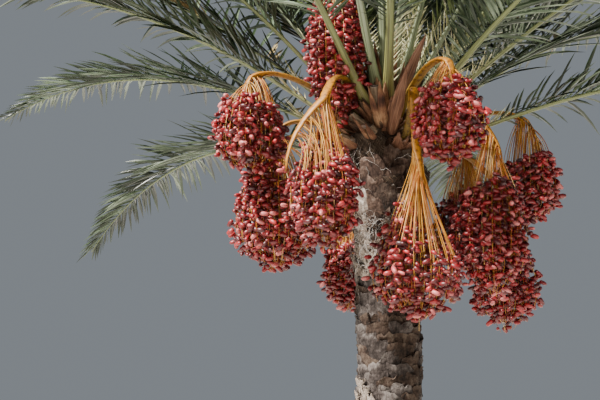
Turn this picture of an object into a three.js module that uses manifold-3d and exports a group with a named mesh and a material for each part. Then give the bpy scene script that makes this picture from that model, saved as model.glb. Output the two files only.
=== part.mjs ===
// Date palm tree in fruit: one straight trunk clad in trimmed leaf bases, a crown of arching feather fronds,
// and bunches of dates that hang on long stalks from between the fronds. Millimetres, +Z up. The origin is on
// the ground, at the centre of the trunk's flat foot. -Y is the front.
import * as THREE from 'three';
import { mergeVertices } from 'three/addons/utils/BufferGeometryUtils.js';
import Module from 'manifold-3d';

const wasm = await Module();
wasm.setup();

// Driving dimensions of the trunk
const FOOT_RADIUS = 300; // root flare at the ground
const LOW_RADIUS = 186; // just above the flare
const STEM_RADIUS = 166; // what it tapers to at the height of the crown
const HEAD_RADIUS = 182; // the head that the leaves grow on, which it widens into
const FLARE_HEIGHT = 260; // the flare dies away over about this height
const HEAD_BOTTOM = 3950; // the lowest living leaf base
const HEAD_HEIGHT = 430; // from there to the growing tip
const STUBS_AROUND = 8; // trimmed leaf bases in one ring
const STUB_RISE = 65; // height between one ring of stubs and the next, half a stub on
const STUB_PROUD = 15; // how far a stub stands out from the trunk's mean surface
const STUB_LIFT = 20; // how far its tip stands up above its foot
const LONG_PROUD = 48; // the same for the youngest stubs, close under the crown
const LONG_LIFT = 38;
const LONG_FROM = 3200; // from this height the stubs grow longer
const LONG_FULL = 3700;

// Driving dimensions of the crown
const SITES = 62; // leaf bases still alive, the youngest first
const FIRST_SITE = 4; // the younger ones are still furled in the spear
const DIVERGENCE = 137.508; // degrees from one leaf base to the next
const FIRST_AZIMUTH = 20; // azimuths run from +X towards +Y, in degrees
const UPRIGHT_LEAN = 3; // degrees from upright at the root of the youngest leaf
const OLDEST_LEAN = 70;
const FROND_LENGTH = 3350;
const YOUNG_SHARE = 0.8; // length of the youngest frond, as a share of a full-grown one
const YOUNG_BEND = 16; // degrees that a young frond bends over from root to tip
const OLD_BEND = 55;
const BLADE_START = 0.17; // share of a frond that is bare leaf stalk
const BLADE_END = 0.97;
const LEAFLET_PAIRS = 20; // each stands for several real leaflets
const LEAFLET_LENGTH = 470;
const LEAFLET_CLEARANCE = 3;
const SPEAR_LENGTH = 1650;
const SUNK = 40; // how far a leaf's or stalk's root runs into the head before it is cut to its seat
const SEAT_GAP = 0.5; // between a leaf or bunch and the trunk that it grows on

const degrees = THREE.MathUtils.degToRad;
const mix = THREE.MathUtils.lerp;

// A repeatable uneven value from -1 to 1 for leaf or leaflet number i
const wobble = (i, k) => Math.sin(i * 12.9898 + k * 78.233);

// The fruit bunches. Each stalk leaves the head at a leaf's site. Azimuth, reach and height place the middle
// of the hanging fruit, width and depth are half its size, and drop is how far above its middle the strands
// leave the stalk. The strands spread as a cone where spread is 1, and as a wide fan where it is less. rise
// is how far the stalk arches up over that place, as a share of its span.
const BUNCHES = [
  { name: 'left_high', site: 38, azimuth: 206, reach: 865, height: 3985,
    width: 185, depth: 200, drop: 330, spread: 0.3, rise: 0.12 },
  { name: 'left_low', site: 51, azimuth: 189, reach: 645, height: 3545,
    width: 228, depth: 270, drop: 515, spread: 0.55, rise: 0.28 },
  { name: 'left_front', site: 25, azimuth: 242, reach: 790, height: 3605,
    width: 180, depth: 235, drop: 505, spread: 0.7, rise: 0.24 },
  { name: 'heart', site: 12, azimuth: 216, reach: 365, height: 4600,
    width: 158, depth: 285, drop: 400, spread: 0.6, rise: 0.28 },
  { name: 'front_high', site: 36, azimuth: 292, reach: 809, height: 3975,
    width: 182, depth: 240, drop: 320, spread: 0.55, rise: 0.14 },
  { name: 'front_low', site: 57, azimuth: 285, reach: 535, height: 3205,
    width: 255, depth: 275, drop: 660, spread: 1, rise: 1.9 },
  { name: 'right_front', site: 52, azimuth: 333, reach: 640, height: 3485,
    width: 195, depth: 245, drop: 540, spread: 0.8, rise: 0.28 },
  { name: 'right_high', site: 47, azimuth: 4, reach: 830, height: 3770,
    width: 170, depth: 190, drop: 400, spread: 0.35, rise: 0.14 },
  { name: 'right_low', site: 55, azimuth: 18, reach: 730, height: 3228,
    width: 195, depth: 225, drop: 540, spread: 0.9, rise: 0.28 },
  { name: 'back_right', site: 50, azimuth: 50, reach: 800, height: 3640,
    width: 190, depth: 230, drop: 480, spread: 0.6, rise: 0.28 },
  { name: 'back', site: 45, azimuth: 88, reach: 720, height: 3330,
    width: 200, depth: 235, drop: 560, spread: 0.85, rise: 0.28 },
  { name: 'back_low', site: 53, azimuth: 119, reach: 440, height: 3335,
    width: 142, depth: 215, drop: 520, spread: 0.8, rise: 0.28 },
  { name: 'back_left', site: 40, azimuth: 112, reach: 860, height: 3900,
    width: 180, depth: 220, drop: 380, spread: 0.5, rise: 0.18 },
  { name: 'left_back', site: 56, azimuth: 151, reach: 740, height: 3640,
    width: 190, depth: 230, drop: 420, spread: 0.65, rise: 0.28 },
];

// Sites whose leaves the growers cut away to free the fruit
const CUT_SITES = [17, 41, 46, 54, 59];

// Dry woody sheaths that the flower stalks broke out of, still standing among the leaf stalks
const SPATHES = [
  { name: 'front', site: 49, length: 560 },
  { name: 'right', site: 23, length: 480 },
  { name: 'back', site: 32, length: 500 },
];

// A closed surface under construction, as corner points and the triangles between them
class Surface {
  constructor() {
    this.points = [];
    this.corners = [];
  }

  point(p) {
    this.points.push(p.x, p.y, p.z);
    return this.points.length / 3 - 1;
  }

  ring(points) {
    return points.map((p) => this.point(p));
  }

  face(...loop) {
    for (let k = 2; k < loop.length; k++) this.corners.push(loop[0], loop[k - 1], loop[k]);
  }

  // The band between two rings with the same number of points. Where row is given, every other corner stands
  // proud, and the band folds between the low ones, so that each proud corner is a peak of its own.
  band(lower, upper, row = null) {
    lower.forEach((a, k) => {
      const next = (k + 1) % lower.length;
      const loop = [a, lower[next], upper[next], upper[k]];
      if (row !== null && (row + k) % 2 === 0) loop.push(loop.shift());
      this.face(...loop);
    });
  }

  // The flat end under a stack of rings, and the pointed end above it
  foot(ring) {
    this.face(...[...ring].reverse());
  }

  cone(ring, tip) {
    ring.forEach((a, k) => this.face(a, ring[(k + 1) % ring.length], tip));
  }

  // The solid inside. A surface that was built mirrored has its triangles turned round first.
  solid() {
    const build = () => new wasm.Manifold(new wasm.Mesh({
      numProp: 3,
      vertProperties: new Float32Array(this.points),
      triVerts: new Uint32Array(this.corners),
    }));
    const made = build();
    if (made.volume() > 0) return made;
    for (let i = 0; i < this.corners.length; i += 3) {
      [this.corners[i + 1], this.corners[i + 2]] = [this.corners[i + 2], this.corners[i + 1]];
    }
    return build();
  }
}

const material = (color, roughness) => new THREE.MeshStandardMaterial({ color, roughness, metalness: 0 });
const BARK = material(0x6f6157, 0.95);
const LEAF = material(0x66724f, 0.6);
const YOUNG_LEAF = material(0x8b9a6a, 0.55);
const FRUIT = material(0x9c2a30, 0.45);
const WOODY = material(0x7a4a2c, 0.8);

function meshOf(name, solid, finish) {
  const made = solid.getMesh();
  const geometry = new THREE.BufferGeometry();
  geometry.setAttribute('position', new THREE.BufferAttribute(new Float32Array(made.vertProperties), 3));
  geometry.setIndex(new THREE.BufferAttribute(new Uint32Array(made.triVerts), 1));
  const faceted = mergeVertices(geometry).toNonIndexed();
  faceted.computeVertexNormals();
  const mesh = new THREE.Mesh(faceted, finish);
  mesh.name = name;
  return mesh;
}

const UP = new THREE.Vector3(0, 0, 1);
const outward = (azimuth) => new THREE.Vector3(Math.cos(degrees(azimuth)), Math.sin(degrees(azimuth)), 0);
const directionAt = (azimuth, lean) => outward(azimuth).multiplyScalar(Math.sin(degrees(lean)))
  .addScaledVector(UP, Math.cos(degrees(lean)));

// The trunk's radius below the head, and that of the domed head that the leaves grow on
function stemRadius(z) {
  const swell = (HEAD_RADIUS - STEM_RADIUS) * THREE.MathUtils.smoothstep(z, LONG_FROM, HEAD_BOTTOM);
  const taper = mix(LOW_RADIUS, STEM_RADIUS, z / HEAD_BOTTOM);
  return taper + swell + (FOOT_RADIUS - LOW_RADIUS) * Math.exp(-((z / FLARE_HEIGHT) ** 1.5));
}

function headRadius(z) {
  const share = THREE.MathUtils.clamp((z - HEAD_BOTTOM) / HEAD_HEIGHT, 0, 1);
  return HEAD_RADIUS * Math.sqrt(1 - share * share);
}

// One whole trunk from the flat cut at the ground to the growing tip. Each stub is a corner that stands out
// and up from four low corners. The same solid, grown a little all over, cuts the seats of what stands on the
// trunk.
function trunkSolid(grow) {
  const HEAD_RINGS = [0.3, 0.55, 0.75, 0.9];
  const UNEVEN = 0.4;
  const surface = new Surface();
  const around = STUBS_AROUND * 2;
  const rows = Math.floor(HEAD_BOTTOM / STUB_RISE);
  const ringOf = (cornerAt) => surface.ring(Array.from({ length: around }, (_, k) => {
    const { radius, level } = cornerAt(k);
    return outward((360 * k) / around).multiplyScalar(radius + grow).setZ(level);
  }));
  const rings = [];
  for (let row = 0; row <= rows; row++) {
    const plain = row === 0 || row === rows;
    const level = row === rows ? HEAD_BOTTOM : row * STUB_RISE;
    rings.push(ringOf((k) => {
      if (plain) return { radius: stemRadius(level), level };
      const proud = (row + k) % 2 === 0;
      const youth = THREE.MathUtils.clamp((level - LONG_FROM) / (LONG_FULL - LONG_FROM), 0, 1);
      const relief = proud ? mix(STUB_PROUD, LONG_PROUD, youth) : -STUB_PROUD / 2;
      return {
        radius: stemRadius(level) + relief * (1 + UNEVEN * wobble(row * around + k, 1)),
        level: level + (proud ? mix(STUB_LIFT, LONG_LIFT, youth) : 0),
      };
    }));
  }
  for (const share of HEAD_RINGS) {
    const level = HEAD_BOTTOM + HEAD_HEIGHT * share;
    rings.push(ringOf(() => ({ radius: headRadius(level), level: level + grow })));
  }
  surface.foot(rings[0]);
  rings.slice(1).forEach((ring, row) => surface.band(rings[row], ring, row));
  surface.cone(rings.at(-1), surface.point(UP.clone().multiplyScalar(HEAD_BOTTOM + HEAD_HEIGHT + grow)));
  return surface.solid();
}

const trunk = trunkSolid(0);
const seatCutter = trunkSolid(SEAT_GAP);

// A solid that grows on the trunk, with its sunk root cut off along the trunk's own surface
const seated = (solid) => solid.subtract(seatCutter).decompose().sort((a, b) => b.volume() - a.volume())[0];

// Where leaf or stalk number i leaves the head: the youngest at the tip, the oldest at the head's foot
function siteOf(i) {
  const azimuth = FIRST_AZIMUTH + i * DIVERGENCE;
  const height = HEAD_BOTTOM + HEAD_HEIGHT * (1 - (i + 0.5) / SITES);
  const radial = outward(azimuth);
  return { azimuth, radial, base: radial.clone().multiplyScalar(headRadius(height)).setZ(height) };
}

// How far leaf or stalk number i leans out from upright where it leaves the head, in degrees
const ageOf = (i) => i / (SITES - 1);
const leanOf = (i) => mix(UPRIGHT_LEAN, OLDEST_LEAN, ageOf(i) ** 0.75);

// The midline of frond i, as stations from its root to its tip. The young fronds stand up, and the old ones
// lean out and arch over. Each station has the direction along the rib and the direction of its upper face.
function frondLine(i) {
  const STEPS = 200;
  const BEND_GROWTH = 1.6; // a frond bends more and more towards its tip
  const { azimuth, radial, base } = siteOf(i);
  const age = ageOf(i);
  const side = outward(azimuth + 90);
  const lean = leanOf(i) + 2 * wobble(i, 2);
  const bend = mix(YOUNG_BEND, OLD_BEND, age ** 0.8) + 6 * wobble(i, 3);
  const length = FROND_LENGTH * (mix(YOUNG_SHARE, 1, Math.min(1, age * 3)) + 0.05 * wobble(i, 4));
  const at = base.clone().addScaledVector(directionAt(azimuth, lean), -SUNK);
  const stations = [];
  for (let step = 0; step <= STEPS; step++) {
    const angle = lean + bend * (step / STEPS) ** BEND_GROWTH;
    const along = directionAt(azimuth, angle);
    stations.push({ at: at.clone(), along, up: side.clone().cross(along).negate(), side });
    at.addScaledVector(along, length / STEPS);
  }
  return { age, stations };
}

const stationAt = ({ stations }, s) => stations[Math.round(s * (stations.length - 1))];

// The rib is a broad, flat stalk at its root, and thins to the tip. Young ones are slighter.
function ribSize(s, age) {
  const grown = Math.min(1, age * 4);
  return {
    width: mix(44, 62, grown) * mix(0.12, 1, (1 - s) ** 1.7),
    depth: mix(22, 28, grown) * mix(0.15, 1, (1 - s) ** 1.3),
  };
}

// Finds a leaflet's tip from the middle of its root, for a length that may be cut shorter. Leaflets are
// longest a third of the way along the blade, point further forward near its end, and rise from it steeply
// and gently in turn.
function leafletReach(line, s, hand, steep, number) {
  const { at, along, up, side } = stationAt(line, s);
  const t = (s - BLADE_START) / (1 - BLADE_START);
  const fullness = Math.sin(Math.PI * Math.min(1, 0.22 + 0.86 * t)) ** 0.8;
  const forward = degrees(mix(62, 28, t));
  const rise = degrees(steep ? 38 : 14);
  const droop = 0.1 + 0.06 * wobble(number, 5);
  const reach = along.clone().multiplyScalar(Math.cos(forward))
    .addScaledVector(side, hand * Math.sin(forward) * Math.cos(rise))
    .addScaledVector(up, Math.sin(forward) * Math.sin(rise))
    .addScaledVector(UP, -droop)
    .multiplyScalar(LEAFLET_LENGTH * mix(0.35, 1, fullness));
  return (share) => at.clone().addScaledVector(reach, share);
}

// One frond as the corners of its rib, with a place for a leaflet between every two stations of the blade
function frondParts(i) {
  const BARE = [0, 0.05, 0.11];
  const line = frondLine(i);
  const shares = [...BARE];
  for (let k = 0; k <= LEAFLET_PAIRS; k++) shares.push(mix(BLADE_START, BLADE_END, k / LEAFLET_PAIRS));
  const rings = shares.map((s) => {
    const { at, up, side } = stationAt(line, s);
    const { width, depth } = ribSize(s, line.age);
    const upper = at.clone().addScaledVector(up, depth / 3);
    return {
      left: upper.clone().addScaledVector(side, width / 2),
      right: upper.clone().addScaledVector(side, -width / 2),
      keel: at.clone().addScaledVector(up, (-2 * depth) / 3),
    };
  });
  const leaflets = [];
  for (let k = 0; k < LEAFLET_PAIRS; k++) {
    const first = BARE.length + k;
    const s = (shares[first] + shares[first + 1]) / 2;
    const number = i * LEAFLET_PAIRS + k;
    leaflets.push({ first, edge: 'left', reach: leafletReach(line, s, 1, k % 2 === 0, number), tip: null });
    leaflets.push({ first, edge: 'right', reach: leafletReach(line, s, -1, k % 2 === 1, number), tip: null });
  }
  return { name: `frond_${String(i).padStart(2, '0')}`, rings, leaflets, tip: stationAt(line, 1).at };
}

// The rib is three-sided, flat above and keeled below. A leaflet is a pyramid on one of its lower sides.
function frondSolid({ rings, leaflets, tip }) {
  const surface = new Surface();
  const ids = rings.map(({ left, right, keel }) => ({
    left: surface.point(left), right: surface.point(right), keel: surface.point(keel),
  }));
  surface.face(ids[0].right, ids[0].left, ids[0].keel);
  ids.slice(1).forEach((far, k) => {
    const near = ids[k];
    const lowerSides = {
      left: [near.left, far.left, far.keel, near.keel],
      right: [far.right, near.right, near.keel, far.keel],
    };
    surface.face(near.right, far.right, far.left, near.left);
    for (const [edge, loop] of Object.entries(lowerSides)) {
      const leaflet = leaflets.find((one) => one.first === k && one.edge === edge);
      if (leaflet?.tip) surface.cone(loop, surface.point(leaflet.tip));
      else surface.face(...loop);
    }
  });
  const end = ids.at(-1);
  surface.cone([end.left, end.right, end.keel], surface.point(tip));
  return surface.solid();
}

// A leaflet by itself, a little swollen, to find out what it would touch
function leafletProbe(rings, { first, edge }, tip) {
  const near = rings[first];
  const far = rings[first + 1];
  const root = [near[edge], far[edge], far.keel, near.keel];
  const middle = [...root, tip].reduce((sum, p) => sum.add(p), new THREE.Vector3()).divideScalar(5);
  const swell = (p) => p.clone().add(p.clone().sub(middle).setLength(LEAFLET_CLEARANCE));
  const surface = new Surface();
  const ring = surface.ring(root.map(swell));
  surface.foot(ring);
  surface.cone(ring, surface.point(swell(tip)));
  return surface.solid();
}

// A slim stem through the points, drawn out to a tip at the last one. Its section is six-sided, width across
// the given direction and depth at right angles to that.
function stem(points, widths, depths, aside) {
  const SIDES = 6;
  const surface = new Surface();
  const rings = points.slice(0, -1).map((p, k) => {
    const along = points[k + 1].clone().sub(points[Math.max(0, k - 1)]).normalize();
    const across = aside.clone().addScaledVector(along, -aside.dot(along)).normalize();
    const upper = along.clone().cross(across);
    return surface.ring(Array.from({ length: SIDES }, (_, j) => {
      const turn = (2 * Math.PI * j) / SIDES;
      return p.clone().addScaledVector(across, (widths[k] / 2) * Math.cos(turn))
        .addScaledVector(upper, (depths[k] / 2) * Math.sin(turn));
    }));
  });
  surface.foot(rings[0]);
  rings.slice(1).forEach((ring, k) => surface.band(rings[k], ring));
  surface.cone(rings.at(-1), surface.point(points.at(-1)));
  return surface.solid();
}

// The middle of a bunch's fruit, the crest where its strands part, and the arch of the stalk from the head to
// there
function bunchFrame(bunch) {
  const ARRIVAL = 0.18; // how far the stalk still runs outwards as it comes down, as a share of its span
  const { azimuth, base } = siteOf(bunch.site);
  const middle = outward(bunch.azimuth).multiplyScalar(bunch.reach).setZ(bunch.height);
  const crest = middle.clone().addScaledVector(UP, bunch.drop);
  const span = crest.distanceTo(base);
  const leaving = directionAt(azimuth, leanOf(bunch.site));
  const root = base.clone().addScaledVector(leaving, -SUNK);
  const start = base.clone().addScaledVector(leaving, 0.5 * span);
  const arrive = crest.clone().addScaledVector(UP, bunch.rise * span)
    .addScaledVector(outward(bunch.azimuth), -ARRIVAL * span);
  return { middle, crest, curve: new THREE.CubicBezierCurve3(root, start, arrive, crest) };
}

// One bunch: the arching stalk, the fluted cone of strands, and the hanging mass of fruit, whose every other
// corner stands out for several dates.
function bunchSolid(bunch) {
  const STALK_STEPS = 8;
  const AROUND = 12;
  const STRAND_ROWS = 3;
  const FRUIT_ROWS = 8;
  const NECK = 26; // radius where the strands leave the stalk
  const RELIEF = 0.1; // share of the radius by which a corner stands out or in
  const SHOULDER = 0.86; // share of the depth where strands give way to fruit
  const WIDEST = 0.1; // share of the depth by which the fullest place lies above the middle
  const SAG = 12; // how far a proud corner hangs below its ring
  const { middle, crest, curve } = bunchFrame(bunch);
  const path = [...curve.getPoints(STALK_STEPS), crest.clone().addScaledVector(UP, -NECK)];
  const stalk = stem(
    path,
    path.map((_, k) => mix(50, 40, k / STALK_STEPS)),
    path.map((_, k) => mix(24, 30, k / STALK_STEPS)),
    outward(bunch.azimuth + 90),
  );

  const fullest = bunch.depth * WIDEST;
  const girth = (height) => {
    const below = Math.max(0, (fullest - height) / (fullest + bunch.depth));
    const above = Math.min(1, (bunch.drop - height) / (bunch.drop - fullest));
    return Math.max(NECK, bunch.width * above ** bunch.spread * Math.sqrt(1 - below ** 3.4));
  };
  const shoulder = bunch.depth * SHOULDER;
  const levels = [];
  for (let k = 0; k < STRAND_ROWS; k++) {
    const height = mix(bunch.drop, shoulder, (k / STRAND_ROWS) ** 1.5);
    levels.push({ height, radius: girth(height) });
  }
  for (let k = 0; k <= FRUIT_ROWS; k++) {
    const height = shoulder * Math.cos((Math.PI * (k + 0.4)) / (FRUIT_ROWS + 0.8));
    levels.push({ height, radius: girth(height), fruit: true });
  }
  const body = new Surface();
  const cornerAt = ({ height, radius, fruit }, row, k) => {
    const proud = (fruit ? k + row : k) % 2 === 0;
    const relief = (proud ? RELIEF : -RELIEF) * (1 + 0.5 * wobble(row * AROUND + k, bunch.site));
    return outward(bunch.azimuth + (360 * k) / AROUND).multiplyScalar(radius * (1 + relief)).add(middle)
      .addScaledVector(UP, fruit && proud ? height - SAG : height);
  };
  const rings = levels.map((level, row) =>
    body.ring(Array.from({ length: AROUND }, (_, k) => cornerAt(level, row, k))));
  rings.reverse();
  const lowest = body.point(middle.clone().addScaledVector(UP, -bunch.depth));
  body.cone([...rings[0]].reverse(), lowest);
  rings.slice(1).forEach((ring, k) => body.band(rings[k], ring, rings.length - 1 - k));
  body.cone(rings.at(-1), body.point(crest));
  return seated(stalk.add(body.solid()));
}

// A dry boat-shaped sheath, broadest a third of the way up and drawn out to a point
function spatheSolid({ site, length }) {
  const OUTLINE = [[0, 0.5], [0.12, 0.75], [0.4, 1], [0.7, 0.7], [0.9, 0.3], [1, 0]];
  const WIDTH = 62;
  const DEPTH = 22;
  const { azimuth, base } = siteOf(site);
  const along = directionAt(azimuth, leanOf(site));
  const points = OUTLINE.map(([share]) => base.clone().addScaledVector(along, share * length - SUNK));
  const widths = OUTLINE.map(([, fullness]) => fullness * WIDTH);
  const depths = OUTLINE.map(([, fullness]) => fullness * DEPTH);
  return seated(stem(points, widths, depths, outward(azimuth + 90)));
}

// The unopened spear of the youngest leaves, upright in the middle of the crown
function spearSolid() {
  const OUTLINE = [[0, 30], [0.25, 42], [0.6, 30], [0.9, 12], [1, 0]];
  const foot = HEAD_BOTTOM + HEAD_HEIGHT - SUNK;
  const points = OUTLINE.map(([share]) => new THREE.Vector3(0, 0, foot + SPEAR_LENGTH * share));
  const widths = OUTLINE.map(([, width]) => width);
  return seated(stem(points, widths, widths, outward(0)));
}

// What stands already, with its box, so that a leaflet is tested only against what is near
const standing = [];
function stand(name, solid) {
  standing.push({ name, solid, box: solid.boundingBox() });
}

function touches(name, solid) {
  const { min, max } = solid.boundingBox();
  return standing.some((other) => other.name !== name
    && [0, 1, 2].every((axis) => min[axis] < other.box.max[axis] && max[axis] > other.box.min[axis])
    && !other.solid.intersect(solid).isEmpty());
}

const palm = new THREE.Group();
function add(name, solid, finish) {
  stand(name, solid);
  palm.add(meshOf(name, solid, finish));
}

add('trunk', trunk, BARK);
add('spear_leaf', spearSolid(), YOUNG_LEAF);
for (const spathe of SPATHES) add(`spathe_${spathe.name}`, spatheSolid(spathe), WOODY);
for (const bunch of BUNCHES) add(`bunch_${bunch.name}`, bunchSolid(bunch), FRUIT);

// Every other site grows a frond, except where one was cut away. All the ribs stand before any leaflet is
// tested.
const taken = new Set([...BUNCHES, ...SPATHES].map(({ site }) => site).concat(CUT_SITES));
const fronds = [];
for (let i = FIRST_SITE; i < SITES; i++) {
  if (!taken.has(i)) fronds.push(frondParts(i));
}
for (const parts of fronds) stand(parts.name, seated(frondSolid(parts)));

// A leaflet is grown at its full length, or shorter where it would touch a neighbour, or not at all
const LENGTH_SHARES = [1, 0.75, 0.5];
for (const parts of fronds) {
  for (const leaflet of parts.leaflets) {
    for (const share of LENGTH_SHARES) {
      const tip = leaflet.reach(share);
      const probe = leafletProbe(parts.rings, leaflet, tip);
      if (touches(parts.name, probe)) continue;
      leaflet.tip = tip;
      stand(parts.name, probe);
      break;
    }
  }
  palm.add(meshOf(parts.name, seated(frondSolid(parts)), LEAF));
}

export default palm;
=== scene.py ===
# Date palm tree in fruit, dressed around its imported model. Metres, +Z up. The photograph was taken from -Y.
import math

import bmesh
import bpy
import numpy as np
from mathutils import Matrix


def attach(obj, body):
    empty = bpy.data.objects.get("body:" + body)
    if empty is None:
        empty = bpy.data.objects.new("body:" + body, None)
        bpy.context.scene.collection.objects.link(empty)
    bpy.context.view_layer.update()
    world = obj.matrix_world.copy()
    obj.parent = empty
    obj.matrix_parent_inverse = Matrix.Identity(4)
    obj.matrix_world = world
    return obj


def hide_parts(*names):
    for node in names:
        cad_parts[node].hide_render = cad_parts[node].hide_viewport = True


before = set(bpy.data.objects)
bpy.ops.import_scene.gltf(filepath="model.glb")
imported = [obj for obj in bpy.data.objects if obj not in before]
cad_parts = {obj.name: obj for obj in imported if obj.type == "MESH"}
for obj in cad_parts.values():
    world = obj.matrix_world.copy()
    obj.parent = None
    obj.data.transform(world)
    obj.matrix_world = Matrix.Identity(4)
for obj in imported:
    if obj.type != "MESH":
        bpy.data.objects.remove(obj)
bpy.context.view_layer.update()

# Stem.
# A palm's trunk is one straight column of tough strands with no bark of its own, a little thicker at its
# foot. What shows of it between the trimmed leaf bases is a mat of brown fibre, frayed and full of dust. It
# is grown in one piece with the domed head that the leaves stand on.
FOOT_RADIUS = 0.300
LOW_RADIUS = 0.186
STEM_RADIUS = 0.166
HEAD_RADIUS = 0.182
SWELL_FROM = 3.200  # from here up the trunk widens again into the head
FLARE_HEIGHT = 0.260
HEAD_BOTTOM = 3.950
HEAD_HEIGHT = 0.430
MAT_DEPTH = 0.026  # how far the fibre mat lies behind the faces of the leaf bases
MAT_RELIEF = 0.008
DOME_SHARE = 0.97  # of the head's radius, which the fibre's dome fills
STEM_SIDES = 96
STEM_RINGS = 102
UP = np.array([0.0, 0.0, 1.0])
BUMP_SOCKETS = ["Height", "Strength", "Distance"]


def mix(low, high, share):
    return low + (high - low) * share


def outward(azimuth):
    """Level unit directions at these azimuths, which are degrees from +X towards +Y"""
    turn = np.radians(azimuth)
    return np.stack([np.cos(turn), np.sin(turn), np.zeros_like(turn)], axis=-1)


def stem_radius(z):
    taper = mix(LOW_RADIUS, STEM_RADIUS, z / HEAD_BOTTOM)
    share = np.clip((z - SWELL_FROM) / (HEAD_BOTTOM - SWELL_FROM), 0, 1)
    taper = taper + (HEAD_RADIUS - STEM_RADIUS) * share * share * (3 - 2 * share)
    return taper + (FOOT_RADIUS - LOW_RADIUS) * np.exp(-((np.maximum(z, 0) / FLARE_HEIGHT) ** 1.5))


def head_radius(z):
    share = np.clip((z - HEAD_BOTTOM) / HEAD_HEIGHT, 0, 1)
    return HEAD_RADIUS * np.sqrt(1 - share * share)


def uneven(points, size, draw):
    """Smooth uneven values from about -1 to 1 at these points, with swellings of about this size"""
    waves = draw.normal(size=(12, 3)) * 2 / size
    return np.sin(points @ waves.T + draw.uniform(0, 2 * math.pi, 12)).mean(axis=-1) * 2.5


def begin(add_primitive, **settings):
    """A new primitive by itself in the selection, with its place in its mesh, and open in edit mode"""
    bpy.ops.object.select_all(action="DESELECT")
    add_primitive(**settings)
    bpy.ops.object.transform_apply(location=True, rotation=True, scale=True)
    bpy.ops.object.mode_set(mode="EDIT")
    return bpy.context.object


def pick(shape, kind, wanted):
    """Selects just the points, edges or faces that are wanted"""
    bpy.ops.mesh.select_mode(type=kind)
    bpy.ops.mesh.select_all(action="DESELECT")
    mesh = bmesh.from_edit_mesh(shape.data)
    for part in {"VERT": mesh.verts, "EDGE": mesh.edges, "FACE": mesh.faces}[kind]:
        if wanted(part):
            part.select_set(True)
    mesh.select_flush_mode()
    bmesh.update_edit_mesh(shape.data)


def divide(shape, axis, cuts):
    """Cuts a shape's long edges along an axis into equal parts"""
    pick(shape, "EDGE", lambda edge: abs(edge.verts[0].co[axis] - edge.verts[1].co[axis]) > 0.5)
    bpy.ops.mesh.subdivide(number_cuts=cuts)


def move(shape, wanted, way):
    pick(shape, "VERT", wanted)
    bpy.ops.transform.translate(value=way)


def resize(shape, wanted, scale, centre=(0, 0, 0)):
    pick(shape, "VERT", wanted)
    bpy.ops.transform.resize(value=scale, center_override=centre)


def rod(sides, rings):
    """A round rod along +X, one unit long and one thick, with this many evenly spaced rings of points"""
    shape = begin(
        bpy.ops.mesh.primitive_cylinder_add,
        vertices=sides, radius=0.5, depth=1, location=(0.5, 0, 0), rotation=(0, math.pi / 2, 0),
    )
    divide(shape, 0, rings - 2)
    return shape


def pattern(shape):
    """Closes a modelled shape, takes it apart into what its copies need, and removes it"""
    bpy.ops.object.mode_set(mode="OBJECT")
    mesh = shape.data
    points = np.empty(len(mesh.vertices) * 3)
    mesh.vertices.foreach_get("co", points)
    corners = np.empty(len(mesh.loops), dtype=np.int32)
    mesh.loops.foreach_get("vertex_index", corners)
    starts = np.empty(len(mesh.polygons), dtype=np.int32)
    mesh.polygons.foreach_get("loop_start", starts)
    flat = np.zeros(len(mesh.loops) * 2)
    if mesh.uv_layers:
        mesh.uv_layers.active.data.foreach_get("uv", flat)
    bpy.data.objects.remove(shape)
    return {"points": points.reshape(-1, 3), "corners": corners, "starts": starts, "flat": flat}


def joined(name, shape, clouds, crease=math.pi):
    """One mesh of many copies of a pattern. clouds holds each copy's own points, and edges that fold by
    more than the crease angle are sharp."""
    count = len(clouds)
    each = np.arange(count)[:, None]
    mesh = bpy.data.meshes.new(name)
    mesh.vertices.add(count * len(shape["points"]))
    mesh.vertices.foreach_set("co", np.ascontiguousarray(clouds, dtype=np.float32).ravel())
    mesh.loops.add(count * len(shape["corners"]))
    mesh.loops.foreach_set("vertex_index", (shape["corners"] + each * len(shape["points"])).ravel())
    mesh.polygons.add(count * len(shape["starts"]))
    mesh.polygons.foreach_set("loop_start", (shape["starts"] + each * len(shape["corners"])).ravel())
    mesh.uv_layers.new(name="along").data.foreach_set("uv", np.tile(shape["flat"], count))
    mesh.update(calc_edges=True)
    mesh.validate()
    mesh.shade_smooth()
    if crease < math.pi:
        mesh.set_sharp_from_angle(angle=crease)
    piece = bpy.data.objects.new(name, mesh)
    bpy.context.scene.collection.objects.link(piece)
    return piece


def bent(points, at, across, upper, widths, depths):
    """Copies of a rod's points, each bent along its own line. at, across and upper give each line's places
    and directions for every ring of points, and widths and depths its size there."""
    ring = np.rint(points[:, 0] * (at.shape[1] - 1)).astype(int)
    aside = across[:, ring] * (widths[:, ring] * points[:, 1])[..., None]
    above = upper[:, ring] * (depths[:, ring] * points[:, 2])[..., None]
    return at[:, ring] + aside + above


def linear(code):
    """An sRGB hex colour as the linear colour that a shader takes"""
    parts = [int(code[k:k + 2], 16) / 255 for k in (1, 3, 5)]
    return [c / 12.92 if c <= 0.04045 else ((c + 0.055) / 1.055) ** 2.4 for c in parts] + [1.0]


def add_node(material, kind, inputs, stops=(), **settings):
    """Adds a node to a material. inputs gives each socket a value or the socket that feeds it, and stops
    gives a colour ramp its places and hex colours."""
    node = material.node_tree.nodes.new(kind)
    for name, value in settings.items():
        setattr(node, name, value)
    for name, value in inputs.items():
        if isinstance(value, bpy.types.NodeSocket):
            material.node_tree.links.new(value, node.inputs[name])
        else:
            node.inputs[name].default_value = value
    for number, (place, code) in enumerate(stops):
        elements = node.color_ramp.elements
        stop = elements[number] if number < 2 else elements.new(place)
        stop.position = place
        stop.color = linear(code)
    return node.outputs


def blank(name):
    """A new material with no nodes but the one that gives a point's place on the object, and that socket"""
    material = bpy.data.materials.new(name)
    material.use_nodes = True
    material.node_tree.nodes.clear()
    return material, add_node(material, "ShaderNodeTexCoord", {})["Object"]


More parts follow.
